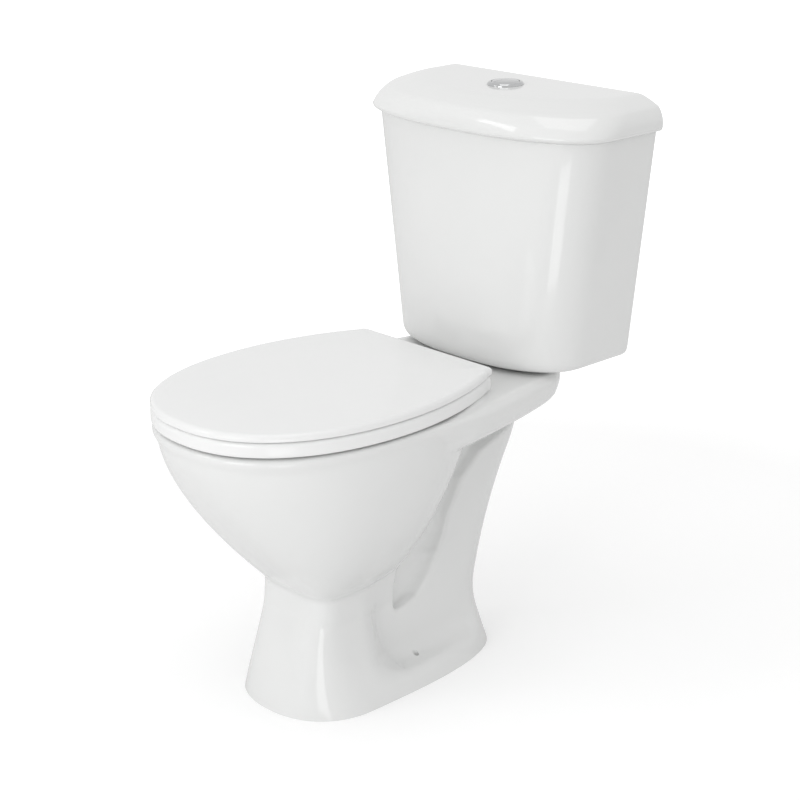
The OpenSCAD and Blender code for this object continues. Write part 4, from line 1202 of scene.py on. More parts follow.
    def leg(self, at: Spots) -> Array:
        """The leg behind the bowl, whose back leans away from the wall.

        Args:
            at: where it is measured.

        Returns:
            Its field.
        """
        z = at.z
        start, lean, curl, hook = self.leg_lean
        back = self.foot_back + start - lean * z - curl * z * z - hook * z**3
        back = soft_high(back, np.full(np.shape(z), self.deck_setback + 16.0), 20.0)
        short = np.maximum(back + self.leg_round - at.d, 0.0)
        side = rounded_distance(at.x, self.leg_width / 2, short, self.leg_round, 2.5)
        out = np.maximum(np.maximum(side, at.d - self.recess_front - 10), z - RIM + self.deck_thickness - 20)
        return soft_high(out, -self.slot(at), 6.0)

    def slot(self, at: Spots) -> Array:
        """The slot behind the bowl, which leaves only the trap's china there.

        Args:
            at: where it is measured.

        Returns:
            Its field.
        """
        up, back, front = np.array(self.SLOT_ROWS, float)
        levels = self.crease_height + up
        low, high = (np.interp(at.z, levels, self.crease_front + edge) for edge in (back, front))
        out = soft_high(self.trap_bore / 2 + self.slot_wall - at.x, low + 9.0 - at.d, 20.0)
        return soft_high(soft_high(out, at.d - high, 5.0), levels[0] + 4 - at.z, 16.0)

    def deck_half(self, d: Any) -> Any:
        """Half the deck's width at a distance from the wall."""
        a, b = self.rim_width / 2, self.deck_width / 2 + self.deck_taper * (d - INLET_D)
        return (a + b - np.sqrt((a - b) ** 2 + 25.0)) / 2

    def deck(self, at: Spots) -> Array:
        """The rim and deck.

        Args:
            at: where it is measured.

        Returns:
            Their field.
        """
        x, d, z = at
        half, widest, r = self.deck_half(self.rim_widest), self.rim_widest, self.deck_corner
        front = egg(at, half, widest, self.rim_front, self.rim_squareness, widest - 300, 2.0)
        side = (x - self.deck_half(d)) * 0.98
        back = self.deck_setback - d
        rear = np.hypot(np.maximum(side + r, 0), np.maximum(back + r, 0))
        rear = rear + np.minimum(np.maximum(side, back) + r, 0) - r
        depth = RIM - z
        ahead = np.clip((d - 300.0) / 70.0, 0.0, 1.0)
        flank, bow = np.interp(depth, *self.FLANK), np.interp(depth, *self.BOW)
        solid = np.where(d >= widest, front, rear) + (flank + (bow - flank) * ahead)
        sag = np.where(d < self.deck_level, 8 * ((self.deck_level - d) / 100) ** 2, 0.0)
        low = np.maximum(soft_high(solid, RIM - self.deck_thickness + sag - z, 17.0), d - widest)
        high = np.maximum(solid, RIM - 34 - z)
        return soft_high(np.minimum(low, high), z - RIM, 7.0 + 9.0 * np.clip((330.0 - d) / 60.0, 0.0, 1.0))

    def hollows(self, at: Spots) -> Array:
        """The bowl's inside, the rim's channel, the trap and the hollow foot.

        Args:
            at: where they are measured.

        Returns:
            Their field.
        """
        x, d, z = at
        rows, wall = self.hollow_rows, self.china_wall
        half, front, back = (np.interp(z, rows[:, 0], rows[:, i]) for i in (1, 2, 3))
        bowl = soft_high(self.opening(at, half, front, back), z - self.under_rim, 5.0)
        bowl = soft_high(bowl, self.sump_height - z, 14.0)
        mouth = np.maximum(self.ring(at, self.rim_inset, 3.0), self.under_rim - 12 - z)
        out = soft_low(bowl, mouth, 5.0)
        lean = wall + np.interp(z, [self.under_rim - 2, self.under_rim + 18], [9.0, self.rim_flare])
        rear = self.opening_back - self.rim_inset + lean
        n = self.opening_squareness
        outer = egg(at, self.rim_width / 2 - lean, self.rim_widest, self.rim_front - lean, n, rear, n)
        channel = soft_high(outer, -self.ring(at, self.rim_inset - 10.0, 0.0), 4.0)
        channel = soft_high(channel, z - RIM + wall + 2, 6.0)
        channel = soft_high(channel, self.under_rim - 2 - z, 3.0)
        out = soft_low(out, channel, 8.0)
        out = soft_low(out, self.trap(at), 10.0)
        cave = np.maximum(self.pedestal(at, wall), self.recess_front + wall - d)
        cave = np.maximum(cave, z - 0.6 * self.crease_height)
        core = np.maximum(x - self.leg_width / 2 + wall, np.maximum(self.core_back - d, d - self.core_front))
        core = soft_high(core, z - self.sump_height + 22, 14.0)
        return soft_low(out, soft_low(cave, core, 8.0), 2.0)

    def ring(self, at: Spots, inset: float, shift: float) -> Array:
        """An outline that follows the rim.

        Args:
            at: where it is measured.
            inset: how far inside the rim it runs.
            shift: how far its back is moved forwards.

        Returns:
            Its field.
        """
        back = self.opening_back - self.rim_inset + inset + shift
        return self.opening(at, self.rim_width / 2 - inset, self.rim_front - inset, back)

    def opening(self, at: Spots, half: Any, front: Any, back: Any) -> Array:
        """An egg that is widest a little in front of its middle."""
        middle, n = (front + back) / 2 + (front - back) * 0.04, self.opening_squareness
        return egg(at, half, middle, front, n, back, n)

    def trap(self, at: Spots) -> Array:
        """The water's way from the sump, over the weir, to the outlet.

        Args:
            at: where it is measured.

        Returns:
            Its field.
        """
        route = np.array(self.TRAP_ROUTE, float).T + np.array([WALL, self.sump_height])
        stack = smooth_stack([point[None] for point in route], [3] * (len(route) - 1))
        line = np.concatenate(stack)
        near = np.full(np.shape(at.d), 1e9)
        for (d0, z0), (d1, z1) in zip(line[:-1], line[1:]):
            run, up = d1 - d0, z1 - z0
            along = np.clip(((at.d - d0) * run + (at.z - z0) * up) / (run * run + up * up), 0.0, 1.0)
            near = np.minimum(near, (at.d - d0 - along * run) ** 2 + (at.z - z0 - along * up) ** 2)
        return np.sqrt(near + at.x * at.x) - self.trap_bore / 2

    def field(self, x: Array, d: Array, z: Array) -> Array:
        """The whole pan before its bores.

        Args:
            x: distance from the middle, either way.
            d: distance from the wall.
            z: height.

        Returns:
            About the distance to the surface, negative inside the china.
        """
        at = Spots(np.abs(x), d, z)
        foot = soft_high(self.pedestal(at), -self.scoop(at), 10.0)
        solid = soft_high(soft_low(foot, self.bowl(at), 12.0), -self.slot(at), 5.0)
        solid = soft_low(solid, self.leg(at), 11.0)
        blend = 3.0 + 17.0 * np.clip((350.0 - d) / 80.0, 0.0, 1.0)
        solid = soft_low(solid, self.deck(at), blend)
        solid = soft_high(solid, -self.hollows(at), 5.0)
        return np.maximum(solid, -8.0 - z)

    def build(self) -> None:
        """Makes the whole pan as one fired piece."""
        reach, front = self.rim_width / 2 + 12, self.rim_front + 12
        low, high = (-reach, self.deck_setback - 12, -18), (reach, front, RIM + 10)
        for step in self.MESH_STEPS:
            net = SkinNet(self.field, step)
            points, quads = net.net(low, high)
            if net.closed(quads):
                break
        points = net.even(net.land(points, 3), quads, 3)
        pan = new_object("pan", framed((points, quads.tolist())), self.crease)
        carve(pan, (-reach, 0.0, -20.0), (reach, front, 0.0), "DIFFERENCE", self.crease)
        for drill in self.drills():
            drill.cut(pan, 48, self.crease)
        self.hand_in(pan, Slot.CHINA, "root", "pan_rim", "pan_bowl", "pan_foot")

    def drills(self) -> List[Drill]:
        """The pan's bores.

        Returns:
            The outlet, the flush inlet and its seat, the way to the rim, and each side's screw holes.
        """
        under, past = RIM - self.deck_thickness, RIM + 9
        pocket = under - 8
        screw_x, screw_d, screw_radius = self.floor_screw
        out = [
            Drill(0.0, WALL, -5.0, 42.0, self.outlet_bore / 2),
            Drill(0.0, INLET_D, self.inlet_floor, past, self.inlet_radius),
            Drill(0.0, INLET_D, RIM - 12, past, self.seal_radius),
            Drill(0.0, 0.0, INLET_D, self.opening_back + 10, *self.rim_way),
        ]
        for side in (-1.0, 1.0):
            out += [
                Drill(side * screw_x, screw_d, -5.0, self.flange_height + 20, screw_radius),
                Drill(side * HINGE_X, HINGE_D, pocket - 5, past, self.seat_bolt_bore),
                Drill(side * HINGE_X, HINGE_D, pocket - 90, pocket, self.nut_pocket),
                Drill(side * COUPLING_X, INLET_D, under - 12, past, BOLT_BORE),
            ]
        return out


# ---------- cistern and its lid ----------


@dataclass
class Cistern(Assembly):
    """The china cistern and its loose lid."""

    floor_width: float = 323.0
    top_width: float = 412.0
    height: float = 320.0
    depth: float = 177.5
    bow: float = 88.0
    squareness: float = 2.4
    round_edge: float = 16.0
    wall: float = 9.0
    gap: float = 0.3
    lid_height: float = 46.0
    overhang: float = 11.0
    band: float = 28.0
    cove: float = 10.0
    lid_wall: float = 9.0
    rib_depth: float = 9.0
    rib: float = 8.0
    rib_clearance: float = 2.0
    flush_bore: float = 31.0
    fill_hole: Tuple[float, float, float] = (-118.0, 44.0, 11.5)
    corner: float = 6.0

    def ring(
        self, half: float, depth: float, bow: float, n: float, back: float, corner: float, z: float
    ) -> Array:
        """A level ring with a flat back and a bowed front.

        Args:
            half: half its width.
            depth: distance of its front from the wall.
            bow: how far its front bows out.
            n: squareness of the bow.
            back: distance of its back from the wall.
            corner: radius of its back corners.
            z: its height.

        Returns:
            The ring's points.
        """
        front = front_curve(half, depth - bow, bow, n, 120)
        t = np.radians(np.linspace(0.0, 90.0, 7))
        turn = np.column_stack([half - corner + corner * np.cos(t), back + corner - corner * np.sin(t)])
        return level(outline_of(front, between(front[-1], turn[0], 10), turn, 24), z)

    def shell_ring(self, inset: float, h: float, back: float) -> Array:
        """One ring of the cistern's skin.

        Args:
            inset: how far inside the outer skin it lies.
            h: its height above the cistern's base.
            back: distance of its back from the wall.

        Returns:
            The ring's points.
        """
        half = (self.floor_width + (self.top_width - self.floor_width) * h / self.height) / 2 - inset
        bow, corner = self.bow - 0.6 * inset, max(2.0, self.corner - 0.2 * inset)
        return self.ring(half, self.depth - inset, bow, self.squareness, back, corner, TANK_BASE + h)

    def lid_ring(self, inset: float, h: float, back: float) -> Array:
        """One ring of the lid's skin; the bow deepens and softens towards the top.

        Args:
            inset: how far inside the lid's edge it lies.
            h: its height above the cistern's top.
            back: distance of its back from the wall.

        Returns:
            The ring's points.
        """
        rise = max(0.0, h - 6.0)
        bow = self.bow + 0.8 * self.overhang - 0.75 * inset + rise
        n, corner = max(2.0, self.squareness - 0.013 * rise), max(1.0, self.corner - 0.06 * inset)
        half, depth = self.top_width / 2 + self.overhang - inset, self.depth + self.overhang - inset
        return self.ring(half, depth, bow, n, back, corner, TANK_BASE + self.height + self.gap + h)

    def build(self) -> None:
        """Makes the cistern, then its lid."""
        self.build_tank()
        self.build_lid()

    def build_tank(self) -> None:
        """Makes the cistern with the holes in its floor."""
        top, wall, crease = self.height, self.wall, 50.0
        path = [
            (40, 0, 8, 0), (0, 0, 0, self.round_edge), (0, top / 2, 0, 0), (0, top - 14, 0, 0), (0, top, 0, 3),
            (wall, top, wall, 2.5), (wall, top - 14, wall, 0), (wall, top / 2, wall, 0),
            (wall, TANK_FLOOR - TANK_BASE, wall, 20), (48, TANK_FLOOR - TANK_BASE, wall + 10, 0),
        ]
        rings = [self.shell_ring(*row) for row in bend_path(path, 9)]
        tank = new_object("cistern", framed(skin(capped(rings, 5))), crease)
        holes = [(0.0, INLET_D, self.flush_bore, 72)]
        holes += [(x, INLET_D, BOLT_BORE, 32) for x in (-COUPLING_X, COUPLING_X)] + [(*self.fill_hole, 48)]
        for x, d, radius, segments in holes:
            Drill(x, d, TANK_BASE - 5, TANK_BASE + 40, radius).cut(tank, segments, crease)
        self.hand_in(tank, Slot.CHINA, "root", "cistern")

    def build_lid(self) -> None:
        """Makes the lid: a banded edge, a cove, a flat top and the rib beneath."""
        h, crease = self.lid_height, 60.0
        rib_outer = self.overhang + self.wall + self.rib_clearance
        rib_inner = rib_outer + self.rib
        band = 8.0 + self.band
        top, ceiling = band + self.cove, h - self.lid_wall
        back, front = rib_inner - self.overhang, rib_outer - self.overhang
        under = [
            (top + 10, ceiling, back + 14, 0), (top, ceiling, back + 9, 4), (rib_inner, ceiling - 11, back, 8),
            (rib_inner, -self.rib_depth, back, 2), (rib_outer, -self.rib_depth, front, 2),
            (rib_outer, 0, front, 1.5), (self.overhang - 1, 0, 1, 0),
        ]
        outer = [
            (7, 0, 0.6), (3, 1.6, 0), (0.6, 4.5, 0), (0, 9, 0), (0.2, 14, 0), (1.2, 20, 0), (3.8, 26, 0),
            (8, h - 14, 0), (8 + 0.3 * self.band, h - 9.6, 0), (8 + 0.75 * self.band, h - 4.6, 0),
            (band, h - 2.2, 0.3), (band + 0.5 * self.cove, h - 1, 1), (top, h - 0.3, 3), (top + 6, h, 6),
        ]
        path = smooth_stack([np.array([row], float) for row in outer], [3, 3, 3, 3, 4, 4, 5, 5, 5, 4, 4, 4, 4])
        rings = [self.lid_ring(*row) for row in bend_path(under, 5) + [row[0] for row in path]]
        lid = new_object("cistern_lid", framed(skin(capped(rings, 8))), crease)
        base = TANK_BASE + self.height
        Drill(0.0, BUTTON_D, base, base + h + 10, BUTTON_BORE).cut(lid, 72, crease)
        self.hand_in(lid, Slot.CHINA, "tank_lid", "cistern_lid")


# ---------- the seat ----------


@dataclass
class Seat(Assembly):
    """The seat's ring and lid with their hinge."""

    width: float = 353.0
    front: float = 643.5
    back: float = 226.5
    draw_in: float = 284.0
    side_power: float = 1.83
    widest: float = 417.0
    squareness: float = 2.25
    corner: float = 9.0
    ring_back_inset: float = 5.0
    ring_fall: float = 2.4
    lid_lift: float = 0.8
    lid_thickness: float = 10.0
    lid_crown: float = 1.5
    lid_skin: float = 4.0
    opening_width: float = 222.0
    opening_front: float = 568.0
    opening_back: float = 284.0
    opening_squareness: float = 2.1
    pin_z: float = 419.5
    pin_radius: float = 2.56
    pin_play: float = 0.06
    knuckle_radius: float = 5.5
    knuckle_width: float = 10.0
    post_width: float = 14.0
    base_radius: float = 12.0
    base_height: float = 3.0
    bolt_radius: float = 4.0
    gap: float = 0.3
    crease: float = 50.0
    front_steps: int = 120
    side_steps: int = 40
    turn_steps: int = 6
    rear_steps: int = 24

    def outline(self, inset: float, back_inset: float = 0.0) -> Array:
        """The seat's outline: an egg cut straight across at its back.

        Args:
            inset: how far inside the seat's edge it lies.
            back_inset: how much further inside it lies at the back.

        Returns:
            Its points.
        """
        half = self.width / 2 - inset
        last = self.back + back_inset + inset + self.corner
        d = np.linspace(self.widest, last, self.side_steps + 1)[1:]
        share = np.clip((self.widest - d) / (self.draw_in - inset), 0.0, 1.0)
        side = np.column_stack([half * (1.0 - share**self.side_power) ** (1.0 / self.side_power), d])
        edge = float(side[-1, 0])
        inner = edge - 0.75 * self.corner
        t = np.radians(np.linspace(0.0, 90.0, self.turn_steps + 1)[1:])
        turn = np.column_stack([inner + (edge - inner) * np.cos(t), last - self.corner * np.sin(t)])
        reach = self.front - self.widest - inset
        front = front_curve(half, self.widest, reach, self.squareness, self.front_steps)
        return outline_of(front, side, turn, self.rear_steps)

    def opening(self, grow: float) -> Array:
        """The seat's opening, with as many points as its outline.

        Args:
            grow: how far outside the opening's edge it lies.

        Returns:
            Its points.
        """
        half = self.opening_width / 2 + grow
        middle = (self.opening_front + self.opening_back) / 2 + 6
        n, count = self.opening_squareness, 2 * (self.side_steps + self.turn_steps) + self.rear_steps
        front = front_curve(half, middle, self.opening_front + grow - middle, n, self.front_steps)
        rear = front_curve(half, 0.0, middle - self.opening_back + grow, n, count)[1:-1][::-1]
        return np.concatenate([front, np.column_stack([rear[:, 0], middle - rear[:, 1]])])

    def barrel(self, name: str, low: float, high: float, radius: float, segments: int = 32) -> Thing:
        """A cylinder along the hinge's axis, with slightly eased ends.

        Args:
            name: its name.
            low: x of its left end.
            high: x of its right end.
            radius: its radius.
            segments: facets round it.

        Returns:
            The cylinder.
        """
        ease = min(0.6, 0.2 * radius)
        section = rounded([(0, low, 0), (radius, low, ease), (radius, high, ease), (0, high, 0)], 3)
        points, faces = turned(section, segments)
        return new_object(name, framed((points[:, [2, 0, 1]], faces), (0.0, HINGE_D, self.pin_z)))

    def knuckles(self, thing: Thing, offset: float, arm: Tuple[float, float, float, float]) -> None:
        """Joins a pair of knuckles beside each post, then bores them.

        Args:
            thing: the ring or the lid.
            offset: from a post's middle to the near face of its knuckles.
            arm: back, front, low and high of the arm behind each knuckle.
        """
        for post in (-HINGE_X, HINGE_X):
            for side in (-1.0, 1.0):
                low = post + min(side * offset, side * (offset + self.knuckle_width))
                high = low + self.knuckle_width
                combine(thing, self.barrel("knuckle", low, high, self.knuckle_radius, 40), "UNION", self.crease)
                carve(thing, (low, arm[0], arm[2]), (high, arm[1], arm[3]), "UNION", self.crease)
            reach = offset + self.knuckle_width + 1
            bore = self.barrel("bore", post - reach, post + reach, self.pin_radius)
            combine(thing, bore, "DIFFERENCE", self.crease)

    def build(self) -> None:
        """Makes the ring, the lid, the pins and the posts."""
        for step in (self.build_ring, self.build_lid, self.build_pins, self.build_posts):
            step()

    def build_ring(self) -> None:
        """Makes the ring: a rounded outside, and a top that falls away to the opening."""
        base, top, fall = SEAT_BASE, SEAT_TOP, self.ring_fall
        path = bend_path([(12, base, 0), (0, base, 5), (0, top, 7), (10, top, 0)], 8)
        rings = [level(self.outline(i, self.ring_back_inset), z) for i, z in path]
        path = bend_path([(20, top - fall, 0), (0, top - 3.4, 6), (0, base + 1, 6), (8, base + 1, 0)], 8)
        inner = [level(self.opening(i), z) for i, z in path]
        edge = rings[-1]
        for share in np.linspace(0.0, 1.0, 9)[1:-1]:
            across = edge * (1 - share) + inner[0] * share
            across[:, 2] = top - fall * share**1.6
            rings.append(across)
        rings += inner + [inner[-1] * (1 - s) + rings[0] * s for s in np.linspace(0.0, 1.0, 6)[1:-1]]
        ring = new_object("seat_ring", framed(skin(rings, closed=True)), self.crease)
        half = self.post_width / 2 + 2 * self.knuckle_width + 4
        notch = HINGE_D + 14
        for x in (-HINGE_X, HINGE_X):
            low, high = (x - half, self.back - 1, base - 1), (x + half, notch, top + 1)
            carve(ring, low, high, "DIFFERENCE", self.crease)
        radius = self.knuckle_radius
        arm = (HINGE_D, notch + 1, self.pin_z - radius, self.pin_z + radius - 1.5)
        self.knuckles(ring, self.post_width / 2 + self.gap, arm)
        self.hand_in(ring, Slot.SEAT, "ring", "seat_ring")

    def build_lid(self) -> None:
        """Makes the lid: a thin crowned shell with a turned-down edge."""
        base = SEAT_TOP + self.lid_lift
        top, wall = base + self.lid_thickness, self.lid_skin
        ceiling = top - wall
        path = [
            (40, ceiling + 0.6, 0), (wall + 1, ceiling, 2.5), (wall, base, 1), (0, base, 1.3),
            (0, base + 5, 2), (2.4, top - 0.6, 4.4), (28, top + 0.7, 12), (60, top + self.lid_crown, 0),
        ]
        rings = [level(self.outline(i), z) for i, z in bend_path(path, 8)]
        lid = new_object("seat_lid", framed(skin(capped(rings, 8))), self.crease)
        radius = self.knuckle_radius
        arm = (HINGE_D - radius, HINGE_D + radius, self.pin_z, ceiling + 1)
        self.knuckles(lid, self.post_width / 2 + 2 * self.gap + self.knuckle_width, arm)
        self.hand_in(lid, Slot.SEAT, "lid", "seat_lid")

    def build_pins(self) -> None:
        """Makes the two hinge pins."""
        reach = self.post_width / 2 + 2 * self.gap + 2 * self.knuckle_width
        radius = self.pin_radius - self.pin_play
        pins = self.barrel("hinge_pins", HINGE_X - reach, HINGE_X + reach, radius)
        combine(pins, self.barrel("pin", -HINGE_X - reach, -HINGE_X + reach, radius), "UNION")
        self.hand_in(pins, Slot.STEEL, "root", "hinge_pins")

    def build_posts(self) -> None:
        """Makes the two chromed hinge posts on their round bases."""
        half, waist, posts = self.post_width / 2, self.knuckle_radius - 0.8, []
        r, top = self.base_radius, RIM + self.base_height
        foot = turned(rounded([(0, RIM, 0), (r, RIM, 0.5), (r, top, 1.4), (0, top, 0)], 5), 64)
        for x in (-HINGE_X, HINGE_X):
            post = new_object("hinge_posts", framed(foot, (x, HINGE_D, 0.0)))
            carve(post, (x - half, HINGE_D - waist, RIM + 1), (x + half, HINGE_D + waist, self.pin_z), "UNION")
            combine(post, self.barrel("head", x - half, x + half, self.knuckle_radius, 48), "UNION")
            bore = self.barrel("bore", x - half - 1, x + half + 1, self.pin_radius - self.pin_play)
            combine(post, bore, "DIFFERENCE")
            Drill(x, HINGE_D, RIM - 1, RIM + 8, self.bolt_radius).cut(post, 32)
            posts.append(post)
        combine(posts[0], posts[1], "UNION")
        self.hand_in(posts[0], Slot.CHROME, "root", "hinge_posts")


# ---------- buttons ----------


@dataclass
class Buttons(Assembly):
    """The chromed bezel in the cistern's lid, its nut and the two buttons."""

    lid_wall: float = 9.0
    bezel_radius: float = 25.0
    bezel_height: float = 4.5
    bezel_wall: float = 2.4
    bezel_length: float = 42.0
    nut_height: float = 10.0
    nut_width: float = 9.0
    notches: int = 8
    gap: float = 0.4
    clearance: float = 0.3
    rod_play: float = 0.06
    dome: float = 1.5
    half_share: float = 0.4
    thickness: float = 5.0

    def __post_init__(self) -> None:
        """Works out the radii that follow from the lid's hole."""
        self.collar = BUTTON_BORE - self.clearance
        self.radius = self.collar - self.bezel_wall - self.gap
        self.top = LID_TOP + self.bezel_height + self.dome
        self.split = -self.radius + 2 * self.radius * self.half_share

    def placed(self, name: str, section: Rings, crease: float = 35.0) -> Thing:
        """A turned piece at the button's place."""
        return new_object(name, framed(turned(section, 96), (0.0, BUTTON_D, 0.0)), crease)

    def build_bezel(self) -> None:
        """Makes the bezel: a domed flange, a collar and the floor that guides the rods."""
        top, low, edge = LID_TOP, LID_TOP - self.bezel_length, self.bezel_radius
        h, inner = self.bezel_height, self.collar - self.bezel_wall
        corners = [
            (0, low, 0), (self.collar, low, 0.5), (self.collar, top, 0), (edge, top, 0.2),
            (edge, top + 0.9, 0.5), (edge - 0.9, top + 0.6 * h, 1.2), (edge - 3.2, top + h, 1.9),
            (inner, top + h, 0.5), (inner, low + 3, 0.5), (0, low + 3, 0),
        ]
        bezel = self.placed("button_bezel", rounded(corners, 6))
        for x in (-ROD_X, ROD_X):
            Drill(x, BUTTON_D, low - 1, low + 5, ROD_RADIUS + self.rod_play).cut(bezel, 32, 35.0)
        self.hand_in(bezel, Slot.CHROME, "tank_lid", "button_bezel")

    def build_nut(self) -> None:
        """Makes the notched nut that holds the bezel from below."""
        top = LID_TOP - self.lid_wall - self.clearance
        base, inner, outer = top - self.nut_height, self.collar, self.collar + self.nut_width
        corners = [(inner, base, 0.4), (outer, base, 1), (outer, top, 1), (inner, top, 0.4)]
        nut = self.placed("bezel_nut", rounded(corners, 4))
        points, faces = block((outer - 1, -2, base - 1), (outer + 4, 2, top + 1))
        for angle in np.radians(np.arange(0.0, 360.0, 360.0 / self.notches)):
            c, s = math.cos(angle), math.sin(angle)
            spun = points.copy()
            spun[:, 0] = points[:, 0] * c - points[:, 1] * s
            spun[:, 1] = points[:, 0] * s + points[:, 1] * c
            combine(nut, new_object("notch", framed((spun, faces), (0.0, BUTTON_D, 0.0))), "DIFFERENCE")
        self.hand_in(nut, Slot.PLASTIC, "tank_lid", "bezel_nut")

    def build_button(self, share: str, low: float, high: float) -> None:
        """Makes one button: a domed disc cut down to its share of the width.

        Args:
            share: half or full.
            low: left edge of its share.
            high: right edge of its share.
        """
        r, top, floor = self.radius, self.top, self.top - self.thickness
        crown = [(r * s, top - self.dome * s**2.6) for s in np.linspace(0.0, 0.93, 12)]
        side = [(0.0, floor), (r, floor), (r, top - 2.6), (0.985 * r, top - 1.9)]
        disc = self.placed(f"{share}_flush_button", side + crown[::-1], 30.0)
        carve(disc, (low, BUTTON_D - r - 1, floor - 1), (high, BUTTON_D + r + 1, top + 1), "INTERSECT", 30.0)
        self.hand_in(disc, Slot.CHROME, f"{share}_button", f"{share}_flush_button")

    def build(self) -> None:
        """Makes the bezel, its nut and both buttons."""
        self.build_bezel()
        self.build_nut()
        self.build_button("half", -self.radius - 1, self.split - self.gap / 2)
        self.build_button("full", self.split + self.gap / 2, self.radius + 1)


# ---------- fixings ----------


class Thread(NamedTuple):
    """A screw thread, in millimetres."""

    pitch: float = 1.0
    depth: float = 0.0
    low: float = 0.0
    high: float = 0.0


class RowSetter:
    """A Geometry Nodes tree that cuts a thread on one piece and sets copies of it out on points."""

    INPUTS = (
        ("Piece", "Object"), ("Finish", "Material"), ("Pitch", "Float"), ("Depth", "Float"),
        ("Thread Low", "Float"), ("Thread High", "Float"), ("Turn", "Float"),
    )
    SEED = 7

    def __init__(self) -> None:
        """Builds the tree, which every row shares."""
        self.tree = bpy.data.node_groups.new("row_of_fixings", "GeometryNodeTree")
        face = self.tree.interface
        face.new_socket("Places", in_out="INPUT", socket_type="NodeSocketGeometry")
        self.ids: Dict[str, str] = {
            name: face.new_socket(name, in_out="INPUT", socket_type=f"NodeSocket{kind}").identifier
            for name, kind in self.INPUTS
        }
        face.new_socket("Row", in_out="OUTPUT", socket_type="NodeSocketGeometry")
        self.inlet = self.tree.nodes.new("NodeGroupInput")
        limits = {2: 0.0, 3: self.given("Turn"), "Seed": self.SEED}
        spin = self.node("FunctionNodeRandomValue", {"data_type": "FLOAT"}, limits, 1)
        euler = self.node("ShaderNodeCombineXYZ", {}, {"Z": spin})
        turn = self.node("FunctionNodeEulerToRotation", {}, {"Euler": euler})
        row = {"Points": self.given("Places"), "Instance": self.threaded(), "Rotation": turn}
        copies = self.node("GeometryNodeInstanceOnPoints", {}, row)
        plain = self.node("GeometryNodeRealizeInstances", {}, {"Geometry": copies})
        dressing = {"Geometry": plain, "Material": self.given("Finish")}
        dressed = self.node("GeometryNodeSetMaterial", {}, dressing)
        dressed.feed(self.tree.nodes.new("NodeGroupOutput").inputs["Row"])

    def node(self, kind: str, settings: Dict[str, Any], inputs: Dict[Any, Any], output: Any = 0) -> Wire:
        """Adds a node to the tree; see wire()."""
        return wire(self.tree, kind, settings, inputs, output)

    def given(self, name: str) -> Wire:
        """One of the tree's inputs, as a wire."""
        return Wire(self.tree, self.inlet.outputs[name])

    def threaded(self) -> Wire:
        """Cuts a helical groove into the piece, which fades out at both its ends.

        Returns:
            The threaded piece.
        """
        piece = self.node("GeometryNodeObjectInfo", {}, {"Object": self.given("Piece")}, "Geometry")
        place = self.node("GeometryNodeInputPosition", {}, {})
        x, y, z = (self.node("ShaderNodeSeparateXYZ", {}, {"Vector": place}, axis) for axis in "XYZ")
        pitch = self.given("Pitch")
        angle = self.node("ShaderNodeMath", {"operation": "ARCTAN2"}, {0: y, 1: x})
        turns = self.node("ShaderNodeMath", {"operation": "FRACT"}, {0: z / pitch - angle / (2 * math.pi)})
        ridge = self.node("ShaderNodeMath", {"operation": "ABSOLUTE"}, {0: turns - 0.5}) * 2.0
        starts = ((z - self.given("Thread Low")) / pitch).clamp()
        ends = ((self.given("Thread High") - z) / pitch).clamp()
        sunk = ridge * starts * ends * self.given("Depth") * -1.0
        flat = self.node("ShaderNodeCombineXYZ", {}, {"X": x, "Y": y})
        out = self.node("ShaderNodeVectorMath", {"operation": "NORMALIZE"}, {0: flat})
        shift = self.node("ShaderNodeVectorMath", {"operation": "SCALE"}, {0: out, "Scale": sunk})
        return self.node("GeometryNodeSetPosition", {}, {"Geometry": piece, "Offset": shift})

    def lay(
        self,
        name: str,
        piece: Solid,
        places: Sequence[Tuple[float, float]],
        finish: bpy.types.Material,
        thread: Thread,
        turn: float,
    ) -> Thing:
        """Sets a row out and makes it plain.

        Args:
            name: the row's name.
            piece: one piece's points, in millimetres about its own upright axis, and its faces.
            places: x and distance from the wall of each copy's axis.
            finish: its material.
            thread: its thread, if any.
            turn: the most that a copy is turned about its axis, in radians.

        Returns:
            The finished row, as one mesh.
        """
        pattern = new_object("pattern", (piece[0] * MM, piece[1]), 35.0)
        row = new_object(name, framed((np.array([(x, d, 0.0) for x, d in places], float), [])))
        step = row.modifiers.new("row", "NODES")
        step.node_group = self.tree
        values = (pattern, finish, *(value * MM for value in thread), turn)
        for (socket, _), value in zip(self.INPUTS, values):
            step[self.ids[socket]] = value
        settle(row)
        bpy.data.objects.remove(pattern)
        smooth(row, 38.0)
        return row


def shank(
    radius: float, low: float, high: float, thread: Thread, head: Optional[Tuple[float, float]] = None
) -> Solid:
    """A bolt or rod with rings close enough for its thread, and a domed head if it has one.

    Args:
        radius: of the shank.
        low: its lower end.
        high: its upper end, below any head.
        thread: its thread.
        head: radius and height of the head.

    Returns:
        Points in millimetres about the upright axis, and faces.
    """
    foot = rounded([(0, low, 0), (radius, low, 0.8), (radius, thread.low, 0)], 3)
    section = foot[:-1] + [(radius, float(z)) for z in np.arange(thread.low, thread.high, thread.pitch / 4)]
    if head:
        wide, tall = head
        top = [(radius, high, 0), (wide, high, 0.3), (wide, high + 0.45 * tall, 0.8)]
        section += rounded(top + [(0.45 * wide, high + tall, 1.6), (0, high + tall, 0)], 5)
    else:
        section += rounded([(radius, thread.high, 0), (radius, high, 0.4), (0, high, 0)], 3)
    return turned(section, 32)


def pair(x: float, d: float) -> Tuple[Tuple[float, float], ...]:
    """A place and its mirror on the other side."""
    return (-x, d), (x, d)


